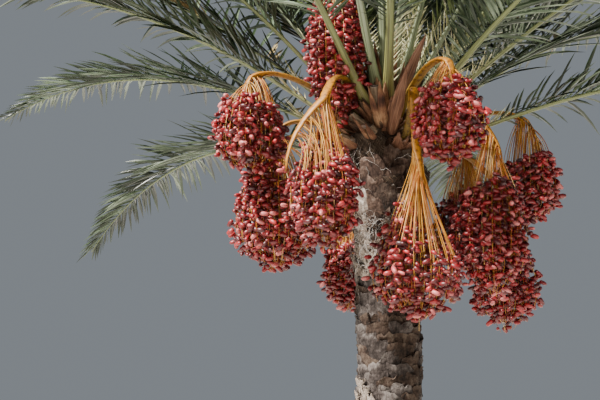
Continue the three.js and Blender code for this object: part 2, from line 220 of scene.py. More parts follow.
def mapped(material):
    """The place on the flat map of a copy's own shape"""
    return add_node(material, "ShaderNodeUVMap", {}, uv_map="along")["UV"]


def stretched(material, place, *scale):
    """A place scaled along its three axes. A small scale draws the pattern out along its axis."""
    return add_node(material, "ShaderNodeMapping", {"Vector": place, "Scale": scale})["Vector"]


def noise(material, place, scale, detail, **more):
    """A noise texture's value. more gives its other sockets."""
    inputs = {"Vector": place, "Scale": scale, "Detail": detail, **more}
    return add_node(material, "ShaderNodeTexNoise", inputs)["Fac"]


def lengthwise(material, across, along, detail, **more):
    """Noise on the flat map of a copy's own shape, which is as fine as across and along say on its sides"""
    return noise(material, stretched(material, mapped(material), across, along, 1.0), 1.0, detail, **more)


def up_map(material):
    """How far up the flat map of its own shape a point lies, from 0 to 1"""
    return add_node(material, "ShaderNodeSeparateXYZ", {"Vector": mapped(material)})["Y"]


def maths(material, operation, *values):
    return add_node(material, "ShaderNodeMath", dict(enumerate(values)), operation=operation)["Value"]


def weighed(material, value, share, rest):
    """A value times its share, plus the rest"""
    return maths(material, "MULTIPLY_ADD", value, share, rest)


def ramp(material, value, *stops):
    """The colour that runs through these stops, lowest first, each a place and a hex colour"""
    first, *between, last = stops
    return add_node(material, "ShaderNodeValToRGB", {"Fac": value}, stops=[first, last, *between])["Color"]


def stained(material, colour, stain, share):
    """A colour multiplied by a share of another"""
    inputs = {0: share, 6: colour, 7: stain}
    return add_node(material, "ShaderNodeMix", inputs, data_type="RGBA", blend_type="MULTIPLY")[2]


def finished(material, colour, roughness, bumps=(), **sockets):
    """Closes a material with its shader. bumps are what gives their height, their strength and their
    distance, and sockets are the shader's other inputs by name, with _ for a space."""
    inputs = {"Base Color": colour, "Roughness": roughness}
    if bumps:
        inputs["Normal"] = add_node(material, "ShaderNodeBump", dict(zip(BUMP_SOCKETS, bumps)))["Normal"]
    inputs.update({name.replace("_", " "): value for name, value in sockets.items()})
    shader = add_node(material, "ShaderNodeBsdfPrincipled", inputs)
    add_node(material, "ShaderNodeOutputMaterial", {"Surface": shader["BSDF"]})
    return material


def dress(piece, material, nodes):
    """Gives a piece its material and its place in the frame, instead of the CAD nodes that it stands for"""
    piece.data.materials.clear()
    piece.data.materials.append(material)
    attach(piece, "root")
    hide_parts(*nodes)


# Palm fibre: coarse dry strands in a mat, dusty grey on top and dark brown in its depth, and painted darker
# still as shade in the gaps between the leaf bases where it shows. It has no gloss.
FIBRE_WIDTH = 0.004  # real strands are under a millimetre, and are drawn this coarse to show
fibre_mat_with_painted_shade, place = blank("dry palm fibre mat with painted shade")
drawn_out = stretched(fibre_mat_with_painted_shade, place, 1.0, 1.0, 0.15)
tangle = noise(fibre_mat_with_painted_shade, drawn_out, 1 / (FIBRE_WIDTH * 4), 8.0, Roughness=0.7, Distortion=0.8)
drifts = noise(fibre_mat_with_painted_shade, place, 9.0, 3.0)
both = maths(fibre_mat_with_painted_shade, "MULTIPLY", tangle, drifts)
# Its darkest colours are the fibre's own brown and painted shade in the gaps between the bases
colour = ramp(fibre_mat_with_painted_shade, both, (0.13, "#18110D"), (0.22, "#35261D"), (0.31, "#574133"), (0.42, "#857668"))
finished(fibre_mat_with_painted_shade, colour, 0.95, (tangle, 0.9, 0.006), Specular_IOR_Level=0.2)

core_shape = pattern(rod(STEM_SIDES, STEM_RINGS))
height = core_shape["points"][:, 0] * (HEAD_BOTTOM + HEAD_HEIGHT)
core_radius = np.where(
    height < HEAD_BOTTOM, stem_radius(height) - MAT_DEPTH, head_radius(height) * DOME_SHARE
)
turn = np.arctan2(core_shape["points"][:, 1], core_shape["points"][:, 2])
radial = np.stack([np.sin(turn), np.cos(turn), np.zeros_like(turn)], axis=-1)
core_points = radial * core_radius[:, None] + UP * height[:, None]
mat_draw = np.random.default_rng(3)
swell = uneven(core_points, 0.09, mat_draw) + 0.6 * uneven(core_points, 0.035, mat_draw)
# The relief fades out towards the tip, and the foot is flat
rim = np.minimum(1, core_radius / 0.05) * (height > 0)
core_points += radial * (swell * rim * MAT_RELIEF)[:, None]
dress(joined("stem", core_shape, core_points[None]), fibre_mat_with_painted_shade, ["trunk"])

# Trimmed leaf bases.
# Each is the stub of a leaf that was sawn off as the palm grew: a broad wedge of light woody tissue, rooted
# across the stem, that stands out at its cut upper end. They follow each other round the stem in a
# staggered lattice, and weather grey, split along the grain and wear round. Each is painted darker towards
# its foot, as shade in the hollow under the base above.
BASES_AROUND = 8
BASE_RISE = 0.057  # from each ring of bases to the next one up
YOUNG_FROM = 3.200  # from here up the bases are younger, longer and less worn
YOUNG_FULL = 3.700
# The old and the young size of each measure
BASE_PROUD = (0.016, 0.052)
BASE_LIFT = (0.022, 0.040)
BASE_HEIGHT = (0.165, 0.250)
BASE_SHARE = (1.24, 0.80)  # a base's width, as a share of the room between its neighbours' middles
BASE_THICK = (0.060, 0.074)
BASE_RAGGED = (0.009, 0.016)
BASE_TILT = (9, 21)  # degrees
WEAR = (0.0034, 0.0022)  # how far a worn point lies from where it grew
BASE_VARIES = (0.84, 1.14)  # the least and the greatest share of these sizes that a base has
PROUD_VARIES = 0.45  # share by which a base stands out more or less than its neighbours
BASE_BELOW = 0.78  # share of a base's height that lies below its place in the lattice
CUT_SLANT = 0.2
PLATE_CUTS = 6
# The sun has bleached those that lie within this many degrees of this side, in these bands of height. It is
# the side that faces the sun, and their pale colour is painted sunlight as well as bleaching.
BLEACH_AND_PAINTED_SUN_AZIMUTH = 213
BLEACH_AND_PAINTED_SUN_REACH = 17
BLEACH_AND_PAINTED_SUN_BANDS = [(2.480, 2.600), (3.200, 3.680)]


def wobble(i, k):
    """A repeatable uneven value from -1 to 1 for part number i"""
    return np.sin(i * 12.9898 + k * 78.233)


def plate(cuts):
    """A leaf base: X across, Y out and Z up, each one unit, narrow at its foot and proud at its top"""
    shape = begin(bpy.ops.mesh.primitive_cube_add, size=1, location=(0, 0, 0.5))
    for axis in (0, 2):
        divide(shape, axis, cuts)
    # The hidden back is one face
    pick(shape, "FACE", lambda face: face.normal.y < -0.9)
    bpy.ops.mesh.dissolve_faces()
    for ring in range(cuts + 2):
        level = ring / (cuts + 1)
        # It is widest above its middle, and its foot lies back in the stem
        width = 1 - 0.46 * (1 - level) ** 2.2 - 0.16 * level ** 5
        back = -0.66 * (1 - level) ** 1.4
        resize(shape, lambda point: abs(point.co.z - level) < 0.01, (width, 1, 1), (0, 0, level))
        move(shape, lambda point: point.co.y > 0 and abs(point.co.z - level) < 0.01, (0, back, 0))
    # The saw cut at the top slopes down towards the stem
    move(shape, lambda point: point.co.y < 0 and point.co.z > 0.99, (0, 0, -0.12))
    # The face is rounded: its sides lie lower than its middle, and its upper corners are gone
    for reach, back, down in ((0.38, -0.10, -0.03), (0.30, -0.05, -0.01), (0.18, -0.03, 0)):
        move(shape, lambda point: point.co.y > -0.25 and abs(point.co.x) > reach, (0, back, down))
    made = pattern(shape)
    # The flat map runs across and up the base
    made["flat"] = made["points"][made["corners"]][:, [0, 2]].ravel()
    return made


def on_stem(points, azimuth, level):
    """Points that are given as across, out and up, laid round the stem at each base's azimuth and level"""
    z = np.clip(level[:, None] + points[..., 2], 0, None)
    radius = stem_radius(z) + points[..., 1]
    turn = np.degrees(points[..., 0] / stem_radius(level)[:, None]) + azimuth[:, None]
    return outward(turn) * radius[..., None] + UP * z[..., None]


# Leaf-base wood: light pith between strong strands, painted darker towards its foot as shade in the hollow
# under the base above, and paler up to its rubbed top edge. The grain runs up the base. Sun and dust silver
# most of the old ones and bleach a strip on the side that faces the sun, which is painted paler still as
# sunlight. Some keep their brown, and most of the young ones are still covered by the red-brown skin of the
# sheath.
GRAIN_WIDTH = 0.005  # real grain is about a millimetre, and is drawn this coarse to show


def base_wood(name, dirt_and_painted_shade, brown, plain, pale):
    material, place = blank(name)
    drawn_out = stretched(material, place, 1.0, 1.0, 0.3)
    grain = noise(material, drawn_out, 1 / (GRAIN_WIDTH * 3), 9.0, Roughness=0.68, Distortion=0.5)
    patches = noise(material, place, 14.0, 6.0, Roughness=0.62)
    # Shares of the patches, the height on the base and the grain, which come to about a half in the middle.
    # The share of the height is painted shade, darker towards each base's foot.
    wear_and_painted_shade = weighed(material, up_map(material), 0.19, weighed(material, patches, 0.62, -0.125))
    grain_wear_and_painted_shade = weighed(material, grain, 0.38, wear_and_painted_shade)
    colour = ramp(material, grain_wear_and_painted_shade, (0.36, dirt_and_painted_shade), (0.44, brown), (0.53, plain), (0.64, pale))
    pits = noise(material, place, 60.0, 6.0)
    rough = maths(material, "ADD", pits, grain)
    return finished(material, colour, 0.9, (rough, 0.9, 0.009), Specular_IOR_Level=0.25)


plate_shape = plate(PLATE_CUTS)
rows = int(HEAD_BOTTOM / BASE_RISE)
seats = [(row, k) for row in range(1, rows) for k in range(2 * BASES_AROUND) if (row + k) % 2 == 0]
row, k = np.array(seats).T
base_azimuth = 360 * k / (2 * BASES_AROUND)
base_level = row * BASE_RISE
base_number = row * 2 * BASES_AROUND + k
youth = np.clip((base_level - YOUNG_FROM) / (YOUNG_FULL - YOUNG_FROM), 0, 1)
wear_draw = np.random.default_rng(5)


def leaf_bases():
    """The points of every leaf base, each with its own size, tilt, splits and wear"""
    count = len(base_level)
    points = plate_shape["points"]
    own = wear_draw.uniform(*BASE_VARIES, size=(count, 3))
    room = 2 * math.pi * stem_radius(base_level) / BASES_AROUND
    proud = mix(*BASE_PROUD, youth) * (1 + PROUD_VARIES * wobble(base_number, 1))
    width = room * mix(*BASE_SHARE, youth) * own[:, 0]
    tall = mix(*BASE_HEIGHT, youth) * own[:, 2]
    x = points[:, 0] * width[:, None]
    y = (points[:, 1] - 0.5) * (mix(*BASE_THICK, youth) * own[:, 1])[:, None] + proud[:, None]
    z = (points[:, 2] - BASE_BELOW) * tall[:, None] + mix(*BASE_LIFT, youth)[:, None]
    # The saw cuts slant one way or the other, and the splits of the grain leave them ragged
    slant = np.clip(wear_draw.normal(0, CUT_SLANT, size=(count, 1)), -2 * CUT_SLANT, 2 * CUT_SLANT)
    z = z + x * slant * points[:, 2]
    column = np.clip(np.rint((points[:, 0] + 0.5) * (PLATE_CUTS + 1)).astype(int), 0, PLATE_CUTS + 1)
    splits = wear_draw.exponential(1, size=(count, PLATE_CUTS + 2)) * mix(*BASE_RAGGED, youth)[:, None]
    z = z - splits[:, column] * np.clip(points[:, 2] * 4 - 3, 0, 1)
    tilt = np.radians(wear_draw.normal(0, mix(*BASE_TILT, youth)))[:, None]
    x, z = x * np.cos(tilt) - z * np.sin(tilt), x * np.sin(tilt) + z * np.cos(tilt)
    cloud = np.stack([x, y, z], axis=-1)
    worn = wear_draw.normal(0, 1, size=cloud.shape) * (points[:, 1] > -0.45)[:, None]
    cloud += worn * mix(*WEAR, youth)[:, None, None]
    return on_stem(cloud, base_azimuth, base_level)


base_cloud = leaf_bases()
# The first colour of each is dirt in the grain and painted shade towards the foot of each base
silvered = base_wood("silvered leaf base wood", "#120D0B", "#27201D", "#403936", "#6C6561")
brown = base_wood("brown leaf base wood", "#0F0A07", "#231913", "#3A2D25", "#584C42")
red_brown = base_wood("red-brown leaf base wood", "#130B07", "#2B1E18", "#44342B", "#6B5A50")
# Bleached wood, for the strip that faces the sun: its pale colour is painted sunlight as well as bleaching
bleached = base_wood("bleached leaf base wood with painted sunlight", "#2A221D", "#574C44", "#857A71", "#B9B0A8")
# Each has its chance among the old and the young bases
base_shades = {
    "silvered": (silvered, (0.64, 0.06)),
    "brown": (brown, (0.36, 0.29)),
    "red_brown": (red_brown, (0.0, 0.65)),
    "bleached": (bleached, (0.0, 0.0)),
}
odds = np.stack([mix(*chances, youth) for _, chances in base_shades.values()], axis=-1)
base_shade = (wear_draw.uniform(size=(len(odds), 1)) > np.cumsum(odds, axis=-1)).sum(axis=-1)
# The bleached ones, which are the last shade, are dealt out by their place and never by chance. They lie on
# the side that faces the sun, and their pale wood is painted sunlight as well as bleaching.
base_shade = np.minimum(base_shade, len(base_shades) - 2)
in_bleach_and_painted_sun = np.abs(base_azimuth - BLEACH_AND_PAINTED_SUN_AZIMUTH) < BLEACH_AND_PAINTED_SUN_REACH
for low, high in BLEACH_AND_PAINTED_SUN_BANDS:
    base_shade[in_bleach_and_painted_sun & (base_level > low) & (base_level < high)] = len(base_shades) - 1


def deal(prefix, shape, cloud, kinds, kind_of, nodes, crease=math.pi):
    """Makes a piece of each kind from the copies that are of it. kinds gives each its material first."""
    for number, (name, (material, _)) in enumerate(kinds.items()):
        piece = joined(f"{prefix}_{name}", shape, cloud[kind_of == number], crease)
        dress(piece, material, nodes)


deal("leaf_bases", plate_shape, base_cloud, base_shades, base_shade, ["trunk"], crease=0.6)

# Loose fibre.
# The sheaths of the young leaves are woven of coarse brown fibre. As the leaves age it frays, comes loose
# between the bases below the crown, and hangs there in dusty tufts. Each thread is a thin rod with many
# bends.
FIBRE_RINGS = 9
FIBRE_THICK = 0.0026  # real threads are about a millimetre, and are drawn this thick to show
FIBRE_LENGTH = (0.05, 0.19)
FIBRE_FOOT = 0.006  # how far out of the stem it starts
# How far out, aside and up a thread sets off, and how far it bends back and down, as shares of its length
FIBRE_OUT = (0.15, 0.9)
FIBRE_ASIDE = 0.55
FIBRE_UP = (-0.3, 0.9)
FIBRE_BACK = 0.25
FIBRE_DOWN = 0.7
FIBRE_CURL = 0.007
TUFTS = 40
TUFT_THREADS = 22
TUFT_SPREAD = 8  # degrees by which a tuft's threads scatter round it
TUFT_RISE = 0.020
TUFT_BAND = (3.330, 4.020)
EDGE_TUFTS = 9  # the first tufts hang in a row down the trunk's left edge
EDGE_AZIMUTH = 206
EDGE_SPREAD = 14
EDGE_BAND = (3.300, 3.990)
LOOSE_THREADS = 420
# Steps of this angle fill the round evenly, and steps of this share of a length fill the length
GOLDEN_ANGLE = 137.508
GOLDEN_SHARE = 0.381966

fibre_shape = pattern(rod(3, FIBRE_RINGS))
fibre_draw = np.random.default_rng(11)
tuft_azimuth = np.arange(TUFTS) * GOLDEN_ANGLE
tuft_azimuth[:EDGE_TUFTS] = EDGE_AZIMUTH + fibre_draw.normal(0, EDGE_SPREAD, size=EDGE_TUFTS)
tuft_height = mix(*TUFT_BAND[::-1], np.arange(TUFTS) * GOLDEN_SHARE % 1)
tuft_height[:EDGE_TUFTS] = np.linspace(*EDGE_BAND, EDGE_TUFTS)
azimuth = np.concatenate([
    np.repeat(tuft_azimuth, TUFT_THREADS) + fibre_draw.normal(0, TUFT_SPREAD, size=TUFTS * TUFT_THREADS),
    fibre_draw.uniform(0, 360, size=LOOSE_THREADS),
])
height = np.concatenate([
    np.repeat(tuft_height, TUFT_THREADS) + fibre_draw.normal(0, TUFT_RISE, size=TUFTS * TUFT_THREADS),
    fibre_draw.uniform(*TUFT_BAND, size=LOOSE_THREADS),
])
count = len(azimuth)
t = np.linspace(0, 1, FIBRE_RINGS)
# Each thread starts out of the mat one way or another, and bends over and down under its own weight
length = fibre_draw.uniform(*FIBRE_LENGTH, size=(count, 1))
out = FIBRE_FOOT + length * (fibre_draw.uniform(*FIBRE_OUT, size=(count, 1)) * t - FIBRE_BACK * t ** 2)
aside = length * fibre_draw.normal(0, FIBRE_ASIDE, size=(count, 1)) * t
rise = length * (fibre_draw.uniform(*FIBRE_UP, size=(count, 1)) * t - FIBRE_DOWN * t ** 2)
curl = np.cumsum(fibre_draw.normal(0, FIBRE_CURL, size=(count, FIBRE_RINGS, 3)), axis=1) * (t > 0)[:, None]
fibre_across = outward(azimuth + 90)
fibre_at = outward(azimuth)[:, None] * (stem_radius(height)[:, None] + out)[..., None]
fibre_at += fibre_across[:, None] * aside[..., None] + UP * (height[:, None] + rise)[..., None] + curl


def unit(vectors):
    return vectors / np.linalg.norm(vectors, axis=-1, keepdims=True)


def square_to(along, direction):
    """The unit direction that is square to a unit line and nearest to a given one"""
    return unit(direction - along * (direction * along).sum(axis=-1, keepdims=True))


def frames(lines, aside):
    """Directions across and out of the upper face of each line, for every point on it"""
    along = unit(np.gradient(lines, axis=1))
    across = square_to(along, aside[:, None])
    return across, np.cross(along, across)


across, upper = frames(fibre_at, unit(fibre_draw.normal(size=(count, 3))))
thick = FIBRE_THICK * mix(1, 0.4, t)[None]
fibre_cloud = bent(fibre_shape["points"], fibre_at, across, upper, thick, thick)


def mottled(name, roughness, scale, detail, stops, bumps, stretch=(1, 1, 1), **sockets):
    """A material whose colours, at these stops, and bumps, of this strength and distance, come from one
    noise. stretch scales the noise along the object's axes."""
    material, place = blank(name)
    value = noise(material, stretched(material, place, *stretch), scale, detail)
    return finished(material, ramp(material, value, *stops), roughness, (value, *bumps), **sockets)


def spray(draw, kinds, count):
    """Deals out kinds at random by their chances, which kinds gives second"""
    return draw.choice(len(kinds), size=count, p=[chance for _, chance in kinds.values()])


# Loose thread: dry and dull, bleached where the sun reaches it
def thread_finish(name, low, high):
    return mottled(name, 0.95, 70.0, 3.0, [(0.35, low), (0.65, high)], (0.4, 0.001), Specular_IOR_Level=0.2)


thread_shades = {
    "bleached": (thread_finish("bleached palm thread", "#88827C", "#C4BFBA"), 0.45),
    "brown": (thread_finish("brown palm thread", "#3F2D22", "#6E5442"), 0.55),
}
# A tuft is bleached or brown as a whole, and those down the left edge, which faces the sun, are bleached,
# so that their pale colour there is painted sunlight as well as bleaching
tuft_shade = spray(fibre_draw, thread_shades, TUFTS)
tuft_shade[:EDGE_TUFTS] = 0
loose_shade = spray(fibre_draw, thread_shades, LOOSE_THREADS)
thread_shade = np.concatenate([np.repeat(tuft_shade, TUFT_THREADS), loose_shade])
deal("loose_fibre", fibre_shape, fibre_cloud, thread_shades, thread_shade, ["trunk"])

# Fronds' ribs.
# A date palm's leaf is carried by one tough rib, flat above and keeled below. It widens at its root into a
# sheath that grips the stem, and thins to a whip at its tip. The fronds stand on a spiral, the young ones
# upright and pale, the old ones leaning out and arching over.
SITES = 62  # places on the head where a leaf or a bunch can stand, numbered from the youngest
FIRST_AZIMUTH = 20
LEAN = (3, 70)  # degrees from upright at the root, of the youngest and the oldest
BEND = (16, 55)  # degrees by which the rib bends over on its way to the tip
BEND_GROWTH = 1.6
FROND_LENGTH = 3.350
YOUNG_SHARE = 0.8  # of that length, which the youngest frond has
LINE_STEPS = 200
SUNK = 0.040  # how deep a root stands in the head
RIB_RINGS = 41
YOUNG_RIB = (0.044, 0.022)  # width and depth at the root
GROWN_RIB = (0.062, 0.028)
SHEATH_WIDTH = 0.115
SHEATH_LENGTH = 0.16  # the sheath narrows to the leaf stalk over about this length
CUT_SITES = [17, 41, 46, 54, 59]  # leaves that were pruned, of which a short stalk is left
CUT_LENGTH = (0.16, 0.34)
YOUNG_SITES = 24  # fronds up to this site are pale and have a waxy bloom


def site_of(i):
    """The azimuth of leaf or stalk number i, and the place where it leaves the head"""
    azimuth = FIRST_AZIMUTH + i * GOLDEN_ANGLE
    height = HEAD_BOTTOM + HEAD_HEIGHT * (1 - (i + 0.5) / SITES)
    return azimuth, outward(azimuth) * head_radius(height) + UP * height


def age_of(i):
    return i / (SITES - 1)


def lean_of(i):
    return mix(*LEAN, age_of(i) ** 0.75)


def direction_at(azimuth, lean):
    lean = np.radians(lean)
    return outward(azimuth) * np.sin(lean)[..., None] + UP * np.cos(lean)[..., None]


def frond_line(i):
    """The midline of frond i from its root, with directions along it, to its side and out of its face"""
    azimuth, base = site_of(i)
    age = age_of(i)
    lean = lean_of(i) + 2 * wobble(i, 2)
    bend = mix(*BEND, age ** 0.8) + 6 * wobble(i, 3)
    length = FROND_LENGTH * (mix(YOUNG_SHARE, 1, min(1, age * 3)) + 0.05 * wobble(i, 4))
    share = np.arange(LINE_STEPS + 1) / LINE_STEPS
    along = direction_at(azimuth, lean + bend * share ** BEND_GROWTH)
    steps = np.vstack([np.zeros(3), along[:-1] * length / LINE_STEPS])
    at = base - direction_at(azimuth, lean) * SUNK + np.cumsum(steps, axis=0)
    side = np.repeat(outward(azimuth + 90)[None], len(share), axis=0)
    return {"site": i, "age": age, "length": length, "at": at, "along": along, "side": side,
            "face": -np.cross(side, along)}


def line_at(line, name, share):
    """A frond's place or direction at these shares of its length"""
    step = np.clip(share, 0, 1) * LINE_STEPS
    low = np.minimum(step.astype(int), LINE_STEPS - 1)
    part = (step - low)[..., None]
    return mix(line[name][low], line[name][low + 1], part)


def rib_size(line, share):
    """The width and depth of a frond's rib at these shares of its length"""
    grown = min(1, line["age"] * 4)
    width = mix(YOUNG_RIB[0], GROWN_RIB[0], grown) * mix(0.12, 1, (1 - share) ** 1.7)
    depth = mix(YOUNG_RIB[1], GROWN_RIB[1], grown) * mix(0.15, 1, (1 - share) ** 1.3)
    return width, depth


def sheath_share(line, share):
    """How much of the sheath there is at these shares of a frond's length, from 1 at its root"""
    return np.exp(-((share * line["length"] / SHEATH_LENGTH) ** 2))


rib_rod = rod(10, RIB_RINGS)
resize(rib_rod, lambda point: point.co.z > 0.01, (1, 1, 0.55))
resize(rib_rod, lambda point: point.co.z < -0.01, (1, 1, 4 / 3))
rib_shape = pattern(rib_rod)
ring_share = np.linspace(0, 1, RIB_RINGS) ** 1.25  # the rings lie closer together at the root


def ribs(lines, reach=1.0):
    """The points of these fronds' ribs, or of their first part up to this share of their length"""
    ring_at = ring_share * reach
    at, side, face = (
        np.stack([line_at(line, name, ring_at) for line in lines]) for name in ("at", "side", "face")
    )
    sizes = np.stack([rib_size(line, ring_at) for line in lines])
    sheath = np.stack([sheath_share(line, ring_at) for line in lines])
    widths = np.maximum(sizes[:, 0], mix(sizes[:, 0], SHEATH_WIDTH, sheath))
    depths = sizes[:, 1] * (1 + 0.5 * sheath)
    cloud = bent(rib_shape["points"], at, side, face, widths, depths)
    # The sheath's sides curl round towards the middle of the crown
    ring = np.rint(rib_shape["points"][:, 0] * (RIB_RINGS - 1)).astype(int)
    curl = (sheath * widths)[:, ring] * 1.3 * rib_shape["points"][:, 1] ** 2
    return cloud + face[:, ring] * curl[..., None]


frond_nodes = sorted(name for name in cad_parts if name.startswith("frond_"))
fronds = [frond_line(int(name.split("_")[1])) for name in frond_nodes]
young_fronds = [line for line in fronds if line["site"] <= YOUNG_SITES]
grown_fronds = [line for line in fronds if line["site"] > YOUNG_SITES]


def nodes_of(lines):
    return [f"frond_{line['site']:02d}" for line in lines]


# Living leaf stalk: a hard smooth rind, pale grey-green with wax where it is young and olive where it is
# old, with fine streaks along it. Its root is brown.
def rind(name, root, low, high, tip):
    material, place = blank(name)
    streaks = lengthwise(material, 30.0, 14.0, 4.0)
    shift = weighed(material, streaks, 0.2, up_map(material))
    grown = ramp(material, shift, (0.60, root), (0.65, low), (0.75, high), (1.0, tip))
    lines = ramp(material, streaks, (0.38, "#74776A"), (0.55, "#FFFFFF"))
    spots = noise(material, place, 90.0, 3.0)
    gloss = weighed(material, spots, 0.2, 0.42)
    return finished(material, stained(material, grown, lines, 0.8), gloss, (streaks, 0.35, 0.002), IOR=1.45,
                    Coat_Weight=0.35, Coat_Roughness=0.3)


young_rind = rind("waxy young leaf stalk", "#765C35", "#848F66", "#9AA78A", "#6C7A53")
grown_rind = rind("olive leaf stalk", "#6E4C2D", "#7E7A42", "#7C8553", "#6B7749")
dress(joined("young_frond_ribs", rib_shape, ribs(young_fronds)), young_rind, nodes_of(young_fronds))
dress(joined("grown_frond_ribs", rib_shape, ribs(grown_fronds)), grown_rind, nodes_of(grown_fronds))

# Pruned leaf stalks: dead and grey-brown, paler towards the sawn end
cut_rind = rind("dead pruned leaf stalk", "#3E2A1C", "#513D2D", "#665040", "#826E58")
cut_draw = np.random.default_rng(19)
cut_clouds = [ribs([frond_line(i)], cut_draw.uniform(*CUT_LENGTH) / FROND_LENGTH) for i in CUT_SITES]
dress(joined("pruned_leaf_stalks", rib_shape, np.concatenate(cut_clouds)), cut_rind, ["trunk"])

# Fruit bunches' places.
# The stalk of a bunch leaves the head between the leaf bases, arches over and hangs. Its many strands
# part at the crest and carry the dates round a middle below it, in a wide fan or a cone. The fruit begins
# higher up on one side than on the other. Nothing but its stalk holds a bunch.
BUNCH_COLUMNS = [
    "name", "site", "azimuth", "reach", "height", "width", "depth", "drop", "spread", "rise", "high_side",
    "slant",
]
# site is where the stalk leaves the head. azimuth, reach and height place the middle of the fruit, width
# and depth are half of its size, and drop is how far the crest lies above its middle. spread is 0 for a
# fan and 1 for a cone, rise is how high the stalk arches as a share of its span, and slant is how much
# higher up, as a share of its depth, the fruit begins on its high side.
BUNCH_ROWS = [
    ("left_high", 38, 206, 0.865, 3.985, 0.185, 0.200, 0.330, 0.30, 0.12, 200, 0.15),
    ("left_low", 51, 189, 0.645, 3.545, 0.228, 0.270, 0.515, 0.55, 0.28, 190, 0.40),
    ("left_front", 25, 242, 0.790, 3.605, 0.180, 0.235, 0.505, 0.70, 0.24, 60, 0.50),
    ("heart", 12, 216, 0.365, 4.600, 0.158, 0.285, 0.400, 0.60, 0.28, 90, 0.30),
    ("front_high", 36, 292, 0.809, 3.975, 0.182, 0.240, 0.320, 0.42, 0.14, 270, 0.15),
    ("front_low", 57, 285, 0.535, 3.205, 0.255, 0.275, 0.660, 1.00, 1.90, 130, 0.60),
    ("right_front", 52, 333, 0.640, 3.485, 0.195, 0.245, 0.540, 0.80, 0.28, 300, 0.20),
    ("right_high", 47, 4, 0.830, 3.770, 0.170, 0.190, 0.400, 0.35, 0.14, 330, 0.15),
    ("right_low", 55, 18, 0.730, 3.228, 0.195, 0.225, 0.540, 0.90, 0.28, 0, 0.20),
    ("back_right", 50, 50, 0.800, 3.640, 0.190, 0.230, 0.480, 0.60, 0.28, 60, 0.25),
    ("back", 45, 88, 0.720, 3.330, 0.200, 0.235, 0.560, 0.85, 0.28, 150, 0.25),
    ("back_low", 53, 119, 0.440, 3.335, 0.142, 0.215, 0.520, 0.80, 0.28, 40, 0.20),
    ("back_left", 40, 112, 0.860, 3.900, 0.180, 0.220, 0.380, 0.50, 0.18, 130, 0.20),
    ("left_back", 56, 151, 0.740, 3.640, 0.190, 0.230, 0.420, 0.65, 0.28, 220, 0.30),
]
# What most bunches have in common. The stalk's last reach, rachis, runs on down inside the cone of strands,
# at first as steeply outwards as run says, towards its heading, which is usually the bunch's azimuth. The
# longest strands trail below the rest, and the fruit begins at this share of its depth above the middle.
# cleared is how far out the growers cut the leaflets that would rub on the fruit, as a square of its size.
USUAL = {"rachis": 0.19, "run": 0.7, "trail": 0, "begins": 0.8, "cleared": 1.7}
UNUSUAL = {
    "left_front": {"begins": 0.75, "rachis": 0.42, "heading": 192, "run": 1.0, "trail": 0.09},
    "heart": {"trail": 0.22, "cleared": 4.4},
    "front_high": {"begins": 0.58},
    "front_low": {"begins": 0.66},
    "right_front": {"trail": 0.14},
}
STALK_RINGS = 26
RACHIS_RINGS = 6
ARRIVAL = 0.18  # how far a stalk still runs outwards as it comes down, as a share of its span
bunch_nodes = [f"bunch_{row[0]}" for row in BUNCH_ROWS]


def bunch_of(row):
    """All that is known of a bunch: its row by column, its unusual values, its middle, crest and stalk"""
    bunch = dict(zip(BUNCH_COLUMNS, row))
    bunch = {**USUAL, "heading": bunch["azimuth"], **bunch, **UNUSUAL.get(bunch["name"], {})}
    stalk_azimuth, stalk_base = site_of(bunch["site"])
    bunch["middle"] = outward(bunch["azimuth"]) * bunch["reach"] + UP * bunch["height"]
    bunch["crest"] = bunch["middle"] + UP * bunch["drop"]
    span = np.linalg.norm(bunch["crest"] - stalk_base)
    leaving = direction_at(stalk_azimuth, lean_of(bunch["site"]))
    t = np.linspace(0, 1, STALK_RINGS - RACHIS_RINGS)[:, None]
    arch = [
        stalk_base - leaving * SUNK, stalk_base + leaving * 0.5 * span,
        bunch["crest"] + (UP * bunch["rise"] - outward(bunch["azimuth"]) * ARRIVAL) * span, bunch["crest"],
    ]
    weights = [(1 - t) ** 3, 3 * t * (1 - t) ** 2, 3 * t ** 2 * (1 - t), t ** 3]
    stalk = sum(weight * point for weight, point in zip(weights, arch))
    hang = np.linspace(0, bunch["rachis"], RACHIS_RINGS + 1)[1:, None]
    run = bunch["run"] * hang * (1 - 0.5 * hang / bunch["rachis"])
    bunch["stalk"] = np.vstack([stalk, bunch["crest"] - UP * hang + outward(bunch["heading"]) * run])
    return bunch


bunches = [bunch_of(row) for row in BUNCH_ROWS]


def hits_fruit(points):
    """Whether these points lie in a bunch's fruit or strands"""
    hit = np.zeros(points.shape[:-1], dtype=bool)
    for bunch in bunches:
        away = points - bunch["middle"]
        level = np.hypot(away[..., 0], away[..., 1])
        mass = (level / bunch["width"]) ** 2 + (away[..., 2] / bunch["depth"]) ** 2 < bunch["cleared"]
        rise = (away[..., 2] - bunch["depth"] * 0.5) / (bunch["drop"] - bunch["depth"] * 0.5)
        cone = (rise > 0) & (rise < 1) & (level < bunch["width"] * (1 - rise) * 0.9)
        hit |= mass | cone
    return hit


# Spines.
# The lowest leaflets of a date palm's leaf grow as hard spines, in pairs along the edges of the stalk below
# the blade. Each is a stiff yellow-green needle.
SPINES_A_SIDE = 13
SPINE_FROM = 0.07
BLADE_START = 0.17
SPINE_LENGTH = (0.055, 0.165)  # the lowest and the highest
SPINE_VARIES = (0.8, 1.2)
SPINE_THICK = 0.009
# How far a spine points forward, aside and up
SPINE_FORWARD = (0.55, 1.0)
SPINE_ASIDE = 0.75
SPINE_UP = (0.0, 0.6)

